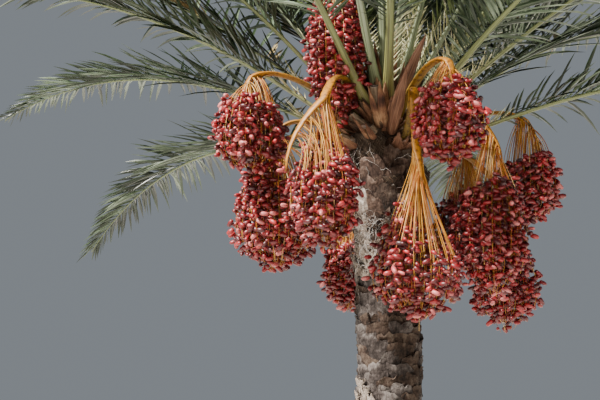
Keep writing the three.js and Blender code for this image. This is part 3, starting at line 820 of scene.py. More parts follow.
spine_cone = begin(
    bpy.ops.mesh.primitive_cone_add,
    vertices=5, radius1=0.5, radius2=0, depth=1, location=(0.5, 0, 0), rotation=(0, math.pi / 2, 0),
)
divide(spine_cone, 0, 1)
resize(spine_cone, lambda point: 0.4 < point.co.x < 0.6, (1, 1.35, 1.35), (0.5, 0, 0))
spine_shape = pattern(spine_cone)
spine_draw = np.random.default_rng(7)


def placed(points, origins, along, aside, sizes):
    """Copies of points: each has its own origin, X goes along and Y aside, and sizes scale the axes"""
    along = unit(along)
    aside = square_to(along, aside)
    axes = np.stack([along, aside, np.cross(along, aside)], axis=1)
    return origins[:, None] + (points[None] * sizes[:, None]) @ axes


def spines(line):
    share = np.repeat(np.linspace(SPINE_FROM, BLADE_START, SPINES_A_SIDE), 2)
    share = share + spine_draw.uniform(-0.003, 0.003, size=share.shape)
    hand = np.tile([1.0, -1.0], SPINES_A_SIDE)[:, None]
    along, side, face = (line_at(line, name, share) for name in ("along", "side", "face"))
    width = rib_size(line, share)[0][:, None]
    root = line_at(line, "at", share) + side * hand * width * 0.46 + face * 0.003
    forward = spine_draw.uniform(*SPINE_FORWARD, size=hand.shape)
    lift = spine_draw.uniform(*SPINE_UP, size=hand.shape)
    reach = along * forward + side * hand * SPINE_ASIDE + face * lift
    grown = (share - SPINE_FROM) / (BLADE_START - SPINE_FROM)
    length = mix(*SPINE_LENGTH, grown) * spine_draw.uniform(*SPINE_VARIES, size=share.shape)
    thick = np.full_like(length, SPINE_THICK)
    sizes = np.stack([length, thick, thick], axis=-1)
    cloud = placed(spine_shape["points"], root, reach, face, sizes)
    return cloud[~hits_fruit(cloud).any(axis=1)]


# Spine rind: hard and smooth, yellow-green drying to straw
spine_stops = [(0.3, "#A3A878"), (0.7, "#DDD5AE")]
spine_rind = mottled("hard spine rind", 0.45, 25.0, 2.0, spine_stops, (0.2, 0.002), IOR=1.45)
spine_cloud = np.concatenate([spines(line) for line in fronds])
dress(joined("spines", spine_shape, spine_cloud), spine_rind, nodes_of(fronds))

# Leaflets.
# The blade of the leaf is split into two or three hundred narrow leaflets, stiff and folded along their
# middle, which sit on the rib's edges in several ranks and sag towards their tips. They are thin and
# leathery, with a grey bloom on both sides. Groups of a few neighbours share a shade.
LEAFLETS_A_SIDE = 146
BLADE_END = 0.985
LEAFLET_LENGTH = 0.470
LEAFLET_WIDTH = 0.0225
LEAFLET_GROUP = 5
RANKS = [14, 38, 2, 26]  # degrees by which neighbours rise out of the leaf's face, in turn
TWIST = 28  # degrees by which a blade may turn on its own middle
FORWARD = (62, 28)  # degrees between a leaflet and the rib, at the blade's foot and at its tip
SAG = (0.05, 0.20)  # how far tips hang, as a share of their length, on the youngest and the oldest frond
LENGTH_VARIES = (0.86, 1.06)
WIDTH_VARIES = (0.8, 1.15)
SAG_VARIES = (0.5, 1.6)
FORWARD_SPREAD = 4  # degrees by which its angles scatter
RANK_SPREAD = 5

grid = begin(
    bpy.ops.mesh.primitive_grid_add, x_subdivisions=4, y_subdivisions=2, size=1, location=(0.5, 0, 0)
)
for place_along, width in [(0.0, 0.36), (0.25, 0.92), (0.5, 1.0), (0.75, 0.7)]:
    resize(grid, lambda point: abs(point.co.x - place_along) < 0.01, (1, width, 1), (place_along, 0, 0))
pick(grid, "VERT", lambda point: point.co.x > 0.99)
bpy.ops.mesh.merge(type="CENTER")
move(grid, lambda point: abs(point.co.y) < 0.01 and 0.01 < point.co.x < 0.99, (0, 0, -0.27))
leaflet_shape = pattern(grid)
leaf_draw = np.random.default_rng(17)


def leaflets(line):
    """The points of one frond's leaflets, and the group that each belongs to"""
    def vary(low, high):
        return leaf_draw.uniform(low, high, size=2 * LEAFLETS_A_SIDE)

    def scatter(spread):
        return leaf_draw.normal(0, spread, size=2 * LEAFLETS_A_SIDE)

    number = np.arange(2 * LEAFLETS_A_SIDE)
    share = mix(BLADE_START, BLADE_END, (number // 2 + 0.5) / LEAFLETS_A_SIDE)
    share = share + scatter(0.0012)
    hand = np.where(number % 2 == 0, 1.0, -1.0)
    t = (share - BLADE_START) / (1 - BLADE_START)
    fullness = np.sin(math.pi * np.minimum(1, 0.22 + 0.86 * t)) ** 0.8
    opened = mix(0.5, 1, min(1, line["age"] * 4))  # a young leaf's blade is still half closed
    forward = np.radians(mix(*FORWARD, t) * opened + scatter(FORWARD_SPREAD))
    rank = np.array(RANKS)[(number // 2 + (hand > 0)) % len(RANKS)]
    rise = np.radians(rank + scatter(RANK_SPREAD))
    # The first leaflets are short, between a spine and a blade
    first = mix(0.35, 1, np.clip(t / 0.09, 0, 1))
    length = LEAFLET_LENGTH * mix(0.35, 1, fullness) * first * vary(*LENGTH_VARIES)
    along, side, face = (line_at(line, name, share) for name in ("along", "side", "face"))
    aside = (np.sin(forward) * np.cos(rise) * hand)[:, None]
    above = (np.sin(forward) * np.sin(rise))[:, None]
    reach = along * np.cos(forward)[:, None] + side * aside + face * above
    sag = mix(*SAG, line["age"]) * vary(*SAG_VARIES)
    width, depth = rib_size(line, share)
    root = line_at(line, "at", share) + side * (hand * width * 0.4)[:, None] + face * (depth * 0.2)[:, None]
    width = LEAFLET_WIDTH * mix(0.6, 1, np.sqrt(fullness)) * vary(*WIDTH_VARIES)
    width = width * np.sqrt(first)
    sizes = np.stack([length, width, width], axis=-1)
    turn = np.radians(scatter(TWIST))[:, None]
    # The fold opens upwards, so the blade's own face is on the upper side on either hand
    broad = square_to(reach, along) * -hand[:, None]
    aside = broad * np.cos(turn) + np.cross(unit(reach), broad) * np.sin(turn)
    cloud = placed(leaflet_shape["points"], root, reach, aside, sizes)
    drop = (leaflet_shape["points"][:, 0] ** 2)[None] * (sag * length)[:, None]
    cloud = cloud - UP * drop[..., None]
    free = ~hits_fruit(cloud).any(axis=1)
    group = number // (2 * LEAFLET_GROUP) + (hand > 0) * LEAFLETS_A_SIDE
    return cloud[free], group[free]


# Leaflet blade: leathery, with fine lengthwise veins and a grey wax bloom that softens its gloss. Young
# ones are pale, grown ones grey-green or silvery, and a few are dry as straw, most of them on the oldest
# fronds.
VEIN_WIDTH = 0.004  # real veins are half a millimetre apart, and are drawn this coarse to show


def blade_finish(name, deep, plain, bloom, gloss):
    material, place = blank(name)
    veins = lengthwise(material, 2.0, LEAFLET_WIDTH / VEIN_WIDTH * 2, 2.0)
    drifts = noise(material, place, 4.0, 3.0)
    shade = weighed(material, veins, 0.5, weighed(material, drifts, 0.5, 0.0))
    colour = ramp(material, shade, (0.4, deep), (0.5, plain), (0.6, bloom))
    return finished(material, colour, gloss, (veins, 0.3, 0.001), IOR=1.45)


leaflet_shades = {
    "pale": blade_finish("young leaflet blade", "#55643A", "#72814E", "#939F73", 0.40),
    "silver": blade_finish("silvery leaflet blade", "#35432D", "#51614A", "#8A9983", 0.31),
    "green": blade_finish("grey-green leaflet blade", "#151F11", "#24321E", "#44543B", 0.32),
    "dry": blade_finish("dry leaflet blade", "#7A6642", "#9C895F", "#BAAB84", 0.6),
}
dealt = {name: [] for name in leaflet_shades}
for line in fronds:
    cloud, group = leaflets(line)
    age = line["age"]
    # Pale blades grow rarer with the frond's age, and green and dry ones more common
    chances = [max(0.0, 0.85 - 2.2 * age), 0.28, 0.3 + 0.5 * age, 0.012 + 0.05 * max(0.0, age - 0.75)]
    chances = np.array(chances) / sum(chances)
    shade_of_group = leaf_draw.choice(len(leaflet_shades), size=2 * LEAFLETS_A_SIDE, p=chances)
    for number, name in enumerate(leaflet_shades):
        dealt[name].append(cloud[shade_of_group[group] == number])
for name, material in leaflet_shades.items():
    blades = joined(f"leaflets_{name}", leaflet_shape, np.concatenate(dealt[name]), crease=0.3)
    dress(blades, material, nodes_of(fronds))

# Spear leaf.
# The youngest leaves stand in the middle of the crown, still packed together in one upright spear. Each
# keeps its leaflets pressed along its rib, so the spear is pleated from root to tip. It is soft and pale.
SPEAR_LENGTH = 1.650
SPEAR_OUTLINE = [(0, 0.030), (0.25, 0.042), (0.6, 0.030), (0.9, 0.012), (1, 0.001)]
SPEAR_RINGS = 30
PLEATS = 12
PLEAT_DEPTH = 0.2


def fluted(folds, depth, rings):
    """A rod with this many folds round it, whose hollows are this share of its radius deep"""
    shape = pattern(rod(folds * 2, rings))
    corner = np.arctan2(shape["points"][:, 2], shape["points"][:, 1]) / math.pi * folds
    shape["points"][:, 1:] *= np.where(np.rint(corner).astype(int) % 2 == 0, 1.0, 1 - depth)[:, None]
    return shape


spear_shape = fluted(PLEATS, PLEAT_DEPTH, SPEAR_RINGS)
share = np.linspace(0, 1, SPEAR_RINGS)
spear_foot = HEAD_BOTTOM + HEAD_HEIGHT - SUNK
spear_at = (UP * (spear_foot + SPEAR_LENGTH * share)[:, None])[None]
across, upper = frames(spear_at, outward(0)[None])
spear_width = np.interp(share, *zip(*SPEAR_OUTLINE))[None]
spear_cloud = bent(spear_shape["points"], spear_at, across, upper, spear_width, spear_width)

# Furled young leaf: soft pale green, satin, with the fold lines of its pleats a little darker
furled_stops = [(0.35, "#8E9A62"), (0.5, "#A9B481"), (0.65, "#C3CBA0")]
furled = mottled("furled young leaf", 0.5, 1.0, 3.0, furled_stops, (0.3, 0.002), (90, 90, 3), IOR=1.45)
dress(joined("furled_spear", spear_shape, spear_cloud, crease=0.5), furled, ["spear_leaf"])

# Dry sheaths.
# Each flower stalk breaks out of a woody sheath shaped like a long boat. It dries red-brown, splits down
# its front and stands on among the leaf stalks, its sides curled in. It is made as a thin shell and
# thickened.
SPATHES = [
    {"name": "spathe_front", "site": 49, "length": 0.560},
    {"name": "spathe_right", "site": 23, "length": 0.480},
    {"name": "spathe_back", "site": 32, "length": 0.500},
]
SPATHE_OUTLINE = [(0, 0.6), (0.12, 0.8), (0.4, 1.0), (0.7, 0.7), (0.9, 0.32), (1, 0.03)]
SPATHE_WIDTH = 0.075
SPATHE_CURL = 100  # degrees that the shell bends round to either side
SPATHE_RAGGED = 0.03
SHEATH_THICK = 0.003
SHELL_COLUMNS = 8

shell_shape = pattern(begin(
    bpy.ops.mesh.primitive_grid_add,
    x_subdivisions=14, y_subdivisions=SHELL_COLUMNS, size=1, location=(0.5, 0, 0),
))
sheath_draw = np.random.default_rng(23)


def sheath_cloud(root, along, back, length, width, outline, curl, ragged):
    """The points of a shell that stands on a root, with its back turned the given way. outline gives its
    width along its length, and ragged is how far its end and sides are torn, as a share of its length."""
    x, y = shell_shape["points"][:, 0], shell_shape["points"][:, 1]
    column = np.rint((y + 0.5) * SHELL_COLUMNS).astype(int)
    torn = sheath_draw.exponential(ragged, size=SHELL_COLUMNS + 1)[column] * x ** 3
    half = np.interp(x, *zip(*outline)) * width / 2
    half = half * (1 + sheath_draw.normal(0, ragged, size=x.shape) * np.abs(y) * 2)
    turn = np.radians(curl) * y * 2
    radius = half / math.sin(math.radians(min(curl, 90)))
    along = unit(along)
    back = square_to(along, back)
    side = np.cross(along, back)
    out = back * (radius * (np.cos(turn) - 1))[:, None] + side * (radius * np.sin(turn))[:, None]
    return root + along * ((x - torn) * length)[:, None] + out


# Dry sheath: thin brittle wood, red-brown, with fine paler ribs along it
sheath_wood, place = blank("dry flower sheath")
ribbing = lengthwise(sheath_wood, 3.0, 22.0, 5.0)
colour = ramp(
    sheath_wood, ribbing, (0.3, "#3E2418"), (0.45, "#67402A"), (0.58, "#85604A"), (0.7, "#AB8260")
)
finished(sheath_wood, colour, 0.65, (ribbing, 0.5, 0.003), IOR=1.5)


def shells(name, clouds, material, nodes):
    """Makes one piece of many thin shells and gives them their wall"""
    bpy.ops.object.select_all(action="DESELECT")
    piece = joined(name, shell_shape, np.stack(clouds))
    piece.select_set(True)
    bpy.context.view_layer.objects.active = piece
    wall = piece.modifiers.new("wall", "SOLIDIFY")
    wall.thickness = SHEATH_THICK
    wall.offset = 0
    bpy.ops.object.modifier_apply(modifier=wall.name)
    dress(piece, material, nodes)


for spathe in SPATHES:
    azimuth, base = site_of(spathe["site"])
    along = direction_at(azimuth, lean_of(spathe["site"]))
    cloud = sheath_cloud(base - along * SUNK, along, outward(azimuth), spathe["length"], SPATHE_WIDTH,
                         SPATHE_OUTLINE, SPATHE_CURL, SPATHE_RAGGED)
    shells(f"dry_{spathe['name']}", [cloud], sheath_wood, [spathe["name"]])

# Torn bracts at the roots of the bunches' stalks.
# The sheath that each flower stalk broke out of stays round its root as stiff torn strips, wide below and
# pointed above, that lean away from the stalk. They are made as the dry sheaths are.
BRACT_OUTLINE = [(0, 1.0), (0.25, 0.9), (0.6, 0.5), (0.85, 0.22), (1, 0.06)]
BRACT_LENGTH = (0.16, 0.36)
BRACT_WIDTH = 0.085
BRACT_CURL = 62
BRACT_RAGGED = 0.1
BRACT_APART = 0.030  # how far to either side of the stalk's middle the outer two of each three stand
BRACT_DROP = 0.022
MIDDLE_BRACT = 0.6  # share of that length which the middle one has
# How far a bract's back turns aside, and how far its tip leans aside and down
BRACT_TURN = (0.6, 1.4)
BRACT_ASIDE = (0.1, 0.4)
BRACT_DOWN = (0.05, 0.35)

bract_clouds = []
for bunch in bunches:
    azimuth, base = site_of(bunch["site"])
    leaving = unit(bunch["stalk"][3] - bunch["stalk"][0])
    for hand in (1, -1, 0):
        aside = outward(azimuth + 90) * hand
        back = outward(azimuth) - UP * 0.6 + aside * sheath_draw.uniform(*BRACT_TURN)
        root = base - leaving * SUNK - UP * BRACT_DROP + aside * BRACT_APART
        spread = leaving + aside * sheath_draw.uniform(*BRACT_ASIDE) - UP * sheath_draw.uniform(*BRACT_DOWN)
        length = sheath_draw.uniform(*BRACT_LENGTH) * (1 if hand else MIDDLE_BRACT)
        bract_clouds.append(sheath_cloud(
            root, spread, back, length, BRACT_WIDTH, BRACT_OUTLINE, BRACT_CURL, BRACT_RAGGED,
        ))
shells("stalk_bracts", bract_clouds, sheath_wood, bunch_nodes)

# Leaf sheaths.
# Outside, the widened root of every leaf stalk is wrapped in skin that dries, cracks along its ribs and
# frays upwards. Short dark pieces grip the stalk, and long tan strips stand up along its edges. Pruned
# stalks keep theirs too. They are made as the bracts are, each bent round the underside of its stalk.
WRAP_OUTLINE = [(0, 1.0), (0.2, 0.9), (0.5, 0.62), (0.8, 0.36), (1, 0.18)]
STRIP_OUTLINE = [(0, 1.0), (0.3, 0.95), (0.7, 0.6), (1, 0.12)]
WRAP_CURL = 50
STRIP_APART = 0.036  # how far to either side of its stalk's middle a strip may stand
STRIP_ASIDE = (0.2, 1)  # share of that at which it does
SKIN_OFF = (0, 0.12)  # how far skin leans off its stalk


# Leaf sheath: tough dry skin, with paler ribs and torn edges
def sheath_skin(name, dark, brown, plain, pale):
    material, place = blank(name)
    ribbing = lengthwise(material, 2.5, 24.0, 6.0, Roughness=0.6)
    stains = noise(material, place, 11.0, 3.0)
    shade = weighed(material, ribbing, 0.5, weighed(material, stains, 0.5, 0.0))
    colour = ramp(material, shade, (0.38, dark), (0.46, brown), (0.54, plain), (0.62, pale))
    return finished(material, colour, 0.75, (ribbing, 0.8, 0.004), Specular_IOR_Level=0.35)


# For each kind: its skin, how many each leaf has, its least and greatest length and width, its outline and
# how ragged it is
sheath_kinds = {
    "dark": (sheath_skin("dark dry leaf sheath", "#1B110B", "#36241A", "#523B2B", "#7D6550"),
             1, (0.09, 0.22), (0.09, 0.14), WRAP_OUTLINE, 0.12),
    "tan": (sheath_skin("tan leaf sheath strip", "#34201A", "#654130", "#8C6448", "#BD9874"),
            2, (0.14, 0.44), (0.030, 0.070), STRIP_OUTLINE, 0.05),
}
for name, (skin_kind, each, lengths, widths, outline, ragged) in sheath_kinds.items():
    clouds = []
    for line in fronds + [frond_line(i) for i in CUT_SITES]:
        along, side, face = line["along"][0], line["side"][0], line["face"][0]
        for number in range(each):
            hand = (2 * number - 1) * sheath_draw.uniform(*STRIP_ASIDE) * (each - 1)
            root = line["at"][0] - face * rib_size(line, 0.0)[1] * 0.9 + side * hand * STRIP_APART
            up_skin = along + side * hand * 0.1 - face * sheath_draw.uniform(*SKIN_OFF)
            length = sheath_draw.uniform(*lengths)
            width = sheath_draw.uniform(*widths)
            back = side * hand * 0.7 - face
            clouds.append(sheath_cloud(root, up_skin, back, length, width, outline, WRAP_CURL, ragged))
    shells(f"leaf_sheaths_{name}", clouds, skin_kind, nodes_of(fronds) + ["trunk"])

# Fibre cloth.
# Below the crown the sheaths of the oldest leaves leave sheets of coarse brown cloth, woven of crossed
# fibres, that still grip the stem. Their upper edges have come loose, stand off and fray. They are made as
# the bracts are.
CLOTH_OUTLINE = [(0, 0.55), (0.3, 0.9), (0.8, 1.0), (1, 0.86)]
CLOTHS = 13
FIRST_CLOTH = 270  # the first sheet hangs in front
CLOTH_LEAN = (0.12, 0.34)  # how far out a sheet leans for its height
CLOTH_ASKEW = 0.16
CLOTH_FOOT = 0.012  # how far out of the stem its foot lies
CLOTH_WIDTH = (0.17, 0.27)
CLOTH_LENGTH = (0.15, 0.27)
CLOTH_BAND = (3.600, 3.830)
CLOTH_CURL = 46
CLOTH_RAGGED = 0.06
WEAVE_ANGLE = 0.6  # radians by which its two sets of fibres lean to either side
SCRAP_RISE = 0.019  # from each scrap to the next one up
SCRAP_REACH = 26  # degrees to either side of the middle of the bleached strip
SCRAP_LEAN = (0.05, 0.55)
SCRAP_LENGTH = (0.045, 0.110)
SCRAP_WIDTH = (0.040, 0.085)
SCRAP_RAGGED = 0.3


# Woven sheath fibre: dull and darker between its crossed fibres, which are drawn coarser than life
def woven(name, dark, brown, plain, pale):
    material, place = blank(name)
    crossed = []
    for angle in (WEAVE_ANGLE, -WEAVE_ANGLE):
        turned = add_node(material, "ShaderNodeMapping", {
            "Vector": mapped(material), "Rotation": (0.0, 0.0, angle), "Scale": (0.3, 0.014, 1.0),
        }, vector_type="TEXTURE")["Vector"]
        crossed.append(noise(material, turned, 1.0, 4.0))
    weave = maths(material, "MAXIMUM", *crossed)
    colour = ramp(material, weave, (0.42, dark), (0.53, brown), (0.63, plain), (0.76, pale))
    return finished(material, colour, 0.95, (weave, 0.9, 0.005), Specular_IOR_Level=0.2)


def hung(azimuth, foot, leans, lengths, widths, ragged):
    """The points of one sheet that grips the stem by its foot and stands off above, within these ranges"""
    lean, length, width = (sheath_draw.uniform(*limits) for limits in (leans, lengths, widths))
    radial = outward(azimuth)
    root = radial * (stem_radius(foot) + CLOTH_FOOT) + UP * foot
    up_sheet = UP + radial * lean + np.cross(UP, radial) * sheath_draw.normal(0, CLOTH_ASKEW)
    return sheath_cloud(root, up_sheet, radial, length, width, CLOTH_OUTLINE, CLOTH_CURL, ragged)


cloth_clouds = [
    hung(FIRST_CLOTH + number * GOLDEN_ANGLE, mix(*CLOTH_BAND, number * GOLDEN_SHARE % 1), CLOTH_LEAN,
         CLOTH_LENGTH, CLOTH_WIDTH, CLOTH_RAGGED)
    for number in range(CLOTHS)
]
cloth_finish = woven("woven sheath fibre", "#17110D", "#2F251E", "#4C3F32", "#7C6E60")
shells("fibre_cloth", cloth_clouds, cloth_finish, ["trunk"])

# On the trunk's sunny side small scraps of it are bleached and torn to a fringe. Their pale colour is
# painted sunlight as well as bleaching.
scrap_clouds = []
for low, high in BLEACH_AND_PAINTED_SUN_BANDS:
    for foot in np.arange(low, high, SCRAP_RISE):
        azimuth = BLEACH_AND_PAINTED_SUN_AZIMUTH + sheath_draw.uniform(-SCRAP_REACH, SCRAP_REACH)
        scrap_clouds.append(hung(azimuth, foot, SCRAP_LEAN, SCRAP_LENGTH, SCRAP_WIDTH, SCRAP_RAGGED))
scrap_finish = woven("bleached sheath fibre with painted sunlight", "#483C33", "#84776B", "#B0A499", "#DDD5CC")
shells("cloth_scraps", scrap_clouds, scrap_finish, ["trunk"])

# Bunch stalks.
# The stalk is a tough flattened strap as thick as a thumb, smooth and golden, that comes out from between
# two leaf bases and bends over under the weight of its fruit.
STALK_WIDTH = (0.050, 0.064)  # at its root and at its tip
STALK_DEPTH = 0.024
RACHIS_TIP = 0.18  # share of its thickness that is left where the last strands part
SLIMMING_FROM = 0.74  # share of its length at which it starts to thin as strands part
FLUTES = 9
FLUTE_DEPTH = 0.13

stalk_shape = fluted(FLUTES, FLUTE_DEPTH, STALK_RINGS)
stalk_lines = np.stack([bunch["stalk"] for bunch in bunches])
stalk_aside = outward(np.array([bunch["azimuth"] for bunch in bunches]) + 90)
across, upper = frames(stalk_lines, stalk_aside)
share = np.linspace(0, 1, STALK_RINGS)
narrowing = mix(1, RACHIS_TIP, np.clip((share - SLIMMING_FROM) / (1 - SLIMMING_FROM), 0, 1) ** 0.7)[None]
stalk_widths = mix(*STALK_WIDTH, share) * narrowing
stalk_cloud = bent(stalk_shape["points"], stalk_lines, across, upper, stalk_widths, STALK_DEPTH * narrowing)

# Stalk rind: smooth and hard, olive at its root and golden over the arch, with fine brown streaks and a
# satin gloss
stalk_rind, place = blank("golden bunch stalk")
streaks = lengthwise(stalk_rind, 24.0, 8.0, 4.0)
shift = weighed(stalk_rind, streaks, 0.34, up_map(stalk_rind))
ripened = ramp(stalk_rind, shift, (0.66, "#5A501E"), (0.76, "#7A6122"), (0.88, "#96691C"), (1.0, "#A66E18"))
specks = noise(stalk_rind, place, 42.0, 5.0, Roughness=0.65)
stains = ramp(stalk_rind, specks, (0.36, "#7A5330"), (0.52, "#FFFFFF"))
colour = stained(stalk_rind, ripened, stains, 0.9)
finished(stalk_rind, colour, 0.5, (streaks, 0.3, 0.002), IOR=1.45)
dress(joined("bunch_stalks", stalk_shape, stalk_cloud), stalk_rind, bunch_nodes)

# Strands.
# Some eighty slim strands part along the last reach of each stalk, those nearest to the trunk first. They
# spread as a fan or a cone, hang down through the fruit, and carry the dates on their lower half. They are
# smooth, golden orange and a little zigzag.
STRANDS = 80
STRAND_RINGS = 15
STRAND_WIDTH = 0.0056
STRAND_DEPTH = 0.0042
STRAND_TIP = 0.5  # share of its thickness that a strand keeps at its tip
STRAND_NECK = 0.020  # how far out from the stalk the outermost strands stand where they part
STRAND_WAVER = 0.0035
STRAND_PEEL = 0.36  # share of the stalk before its crest along which strands part
PEEL_VARIES = (0.5, 1)
BEYOND_VARIES = (0.1, 0.9)
STRAND_SPREAD = 9  # degrees
BUNCH_TURN = 31  # degrees for each site, so that no two bunches are alike
SIDE_BY_SIDE = 0.42  # share of the stalk's width, to either side, over which strands leave it
OUTER_HANG = 0.5  # how deep the outermost strands hang, as a share of the middle ones
HANG_VARIES = (0.78, 1.04)
OUT_VARIES = (0.85, 1.08)
LONG_STRAND = 0.16  # chance that a strand hangs well below the others
LONG_BY = (0.05, 0.25)  # how far, as a share of the depth
SETTLING = (17, 5)  # how fast a strand settles into its own place, in a fan and in a cone
WIDEST = 0.1  # share of the depth by which the fullest place lies above the middle

strand_shape = pattern(rod(4, STRAND_RINGS))
strand_draw = np.random.default_rng(29)


def read_off(line, places, wanted):
    """The points of a line at the wanted places, where places gives the place of each of its own points"""
    return np.stack([np.interp(wanted, places, line[:, axis]) for axis in range(3)], axis=-1)


def girth(bunch, height):
    """How far out the outermost strands are at a height above the middle of the fruit"""
    fullest = bunch["depth"] * WIDEST
    below = np.clip((fullest - height) / (fullest + bunch["depth"] + bunch["trail"]), 0, 0.98)
    above = np.clip((bunch["drop"] - height) / (bunch["drop"] - fullest), 0, 1)
    return np.maximum(STRAND_NECK, bunch["width"] * above ** bunch["spread"] * np.sqrt(1 - below ** 3.4))


def strand_lines(bunch):
    """The strands of a bunch: their places ring by ring, their shares of its width, and their azimuths"""
    def vary(low, high):
        return strand_draw.uniform(low, high, size=STRANDS)

    number = np.arange(STRANDS)
    share = np.sqrt((number + 0.5) / STRANDS)
    azimuth = number * GOLDEN_ANGLE + bunch["site"] * BUNCH_TURN
    azimuth = azimuth + strand_draw.normal(0, STRAND_SPREAD, size=STRANDS)
    # Those that hang nearest to the trunk leave the stalk before its crest, and the farther ones beyond it
    beyond = np.cos(np.radians(azimuth - bunch["heading"])) * share
    leave = 1 - STRAND_PEEL * np.clip(-beyond, 0, 1) * vary(*PEEL_VARIES)
    leave = leave * (STALK_RINGS - RACHIS_RINGS - 1)
    leave = leave + np.clip(beyond + 0.3, 0, 1) * RACHIS_RINGS * vary(*BEYOND_VARIES)
    start = read_off(bunch["stalk"], np.arange(STALK_RINGS), leave) - bunch["middle"]
    # The stalk is flat there, and they leave it side by side
    turned = np.sin(np.radians(azimuth - bunch["azimuth"])) * share
    start = start + outward(bunch["azimuth"] + 90) * (turned * STALK_WIDTH[1] * SIDE_BY_SIDE)[:, None]
    low = -(bunch["depth"] + bunch["trail"]) * mix(1.0, OUTER_HANG, share ** 4)
    low = low * vary(*HANG_VARIES)
    long = strand_draw.uniform(size=STRANDS) < LONG_STRAND
    low = low - np.where(long, vary(*LONG_BY), 0) * bunch["depth"]
    t = np.linspace(0, 1, STRAND_RINGS) ** 1.5  # the rings lie closer together where a strand bends over
    height = mix(start[:, 2:], low[:, None], t)
    radius = girth(bunch, height) * (share * vary(*OUT_VARIES))[:, None]
    own = outward(azimuth)[:, None] * radius[..., None] + UP * height[..., None]
    # Each strand runs on from its start and then hangs in its own place
    settled = (1 - np.exp(-mix(*SETTLING, bunch["spread"]) * t))[:, None]
    settled = settled / settled[-1]
    level_start = start * [1, 1, 0]
    own_level = own * [1, 1, 0]
    at = bunch["middle"] + mix(level_start[:, None], own_level, settled) + UP * height[..., None]
    at += np.cumsum(strand_draw.normal(0, STRAND_WAVER, size=at.shape), axis=1) * t[:, None] * 0.4
    return at, share, azimuth


# Strand rind: smooth and golden orange where it is still fresh, with paler and browner strands among them
def strand_finish(name, low, high):
    return mottled(name, 0.45, 1.0, 3.0, [(0.35, low), (0.65, high)], (0.3, 0.001), (40, 40, 6), IOR=1.45)


strand_shades = {
    "golden": (strand_finish("golden strand", "#A56B20", "#D09B3C"), 0.5),
    "orange": (strand_finish("orange strand", "#884512", "#B96A20"), 0.34),
    "straw": (strand_finish("straw strand", "#BC9050", "#E2C084"), 0.16),
}
for bunch in bunches:
    bunch["strands"], bunch["share"], bunch["turn"] = strand_lines(bunch)
all_strands = np.concatenate([bunch["strands"] for bunch in bunches])
across, upper = frames(all_strands, outward(strand_draw.uniform(0, 360, size=len(all_strands))))
slim = mix(1, STRAND_TIP, np.linspace(0, 1, STRAND_RINGS))[None]
strand_cloud = bent(
    strand_shape["points"], all_strands, across, upper, slim * STRAND_WIDTH, slim * STRAND_DEPTH
)
strand_shade = spray(strand_draw, strand_shades, len(all_strands))
deal("strands", strand_shape, strand_cloud, strand_shades, strand_shade, bunch_nodes)

# Dates.
# The fruit is a long oval berry, firm and red, with a smooth waxy skin that shines softly. It sits on its
# strand by a small stiff cap and points out and down. Most are crimson or cherry red, some are paler, and a
# few have ripened nearly black.
DATE_LENGTH = 0.050
DATE_THICK = 0.0266
DATE_SPACING = 0.0270  # along a strand
SPACING_VARIES = 0.2  # share of it
INNER_SPACING = 2.4  # times that, on the strands in the middle of the bunch
BEGINS_VARIES = 0.16  # share of the depth by which the fruit of a strand begins higher or lower
DATE_STALK = 0.003  # how far it stands off its strand
DATE_OUT = (-0.3, 0.45)  # how far dates point outwards and upwards
DATE_UP = (-0.9, 0.2)
DATE_VARIES = (0.86, 1.1)
PLUMP_VARIES = (0.88, 1.08)
DATE_LEAN = 38  # degrees by which dates turn away from pointing straight across the bunch
CROWDING = (0.004, 0.024)  # how far out over its strand a date sits
DATES_KEPT = 0.95  # share that hasn't fallen
CAP_RADIUS = 0.0065
CAP_DEPTH = 0.005
CAP_SUNK = 0.004  # how far a cap reaches over the end of its date

ball = begin(bpy.ops.mesh.primitive_uv_sphere_add, segments=7, ring_count=4, radius=0.5,
             location=(0.5, 0, 0), rotation=(0, math.pi / 2, 0))
# It is blunt at its cap and a little fuller than a ball towards its tip
move(ball, lambda point: 0.05 < point.co.x < 0.3, (-0.06, 0, 0))
resize(ball, lambda point: 0.05 < point.co.x < 0.3, (1, 1.16, 1.16))
resize(ball, lambda point: 0.7 < point.co.x < 0.95, (1, 1.08, 1.08))
date_shape = pattern(ball)

cap = begin(bpy.ops.mesh.primitive_cone_add, vertices=4, radius1=1, radius2=0, depth=1,
            location=(-0.5, 0, 0), rotation=(0, -math.pi / 2, 0))
move(cap, lambda point: point.co.x > -0.1, (0.35, 0, 0))
cap_shape = pattern(cap)
date_draw = np.random.default_rng(31)


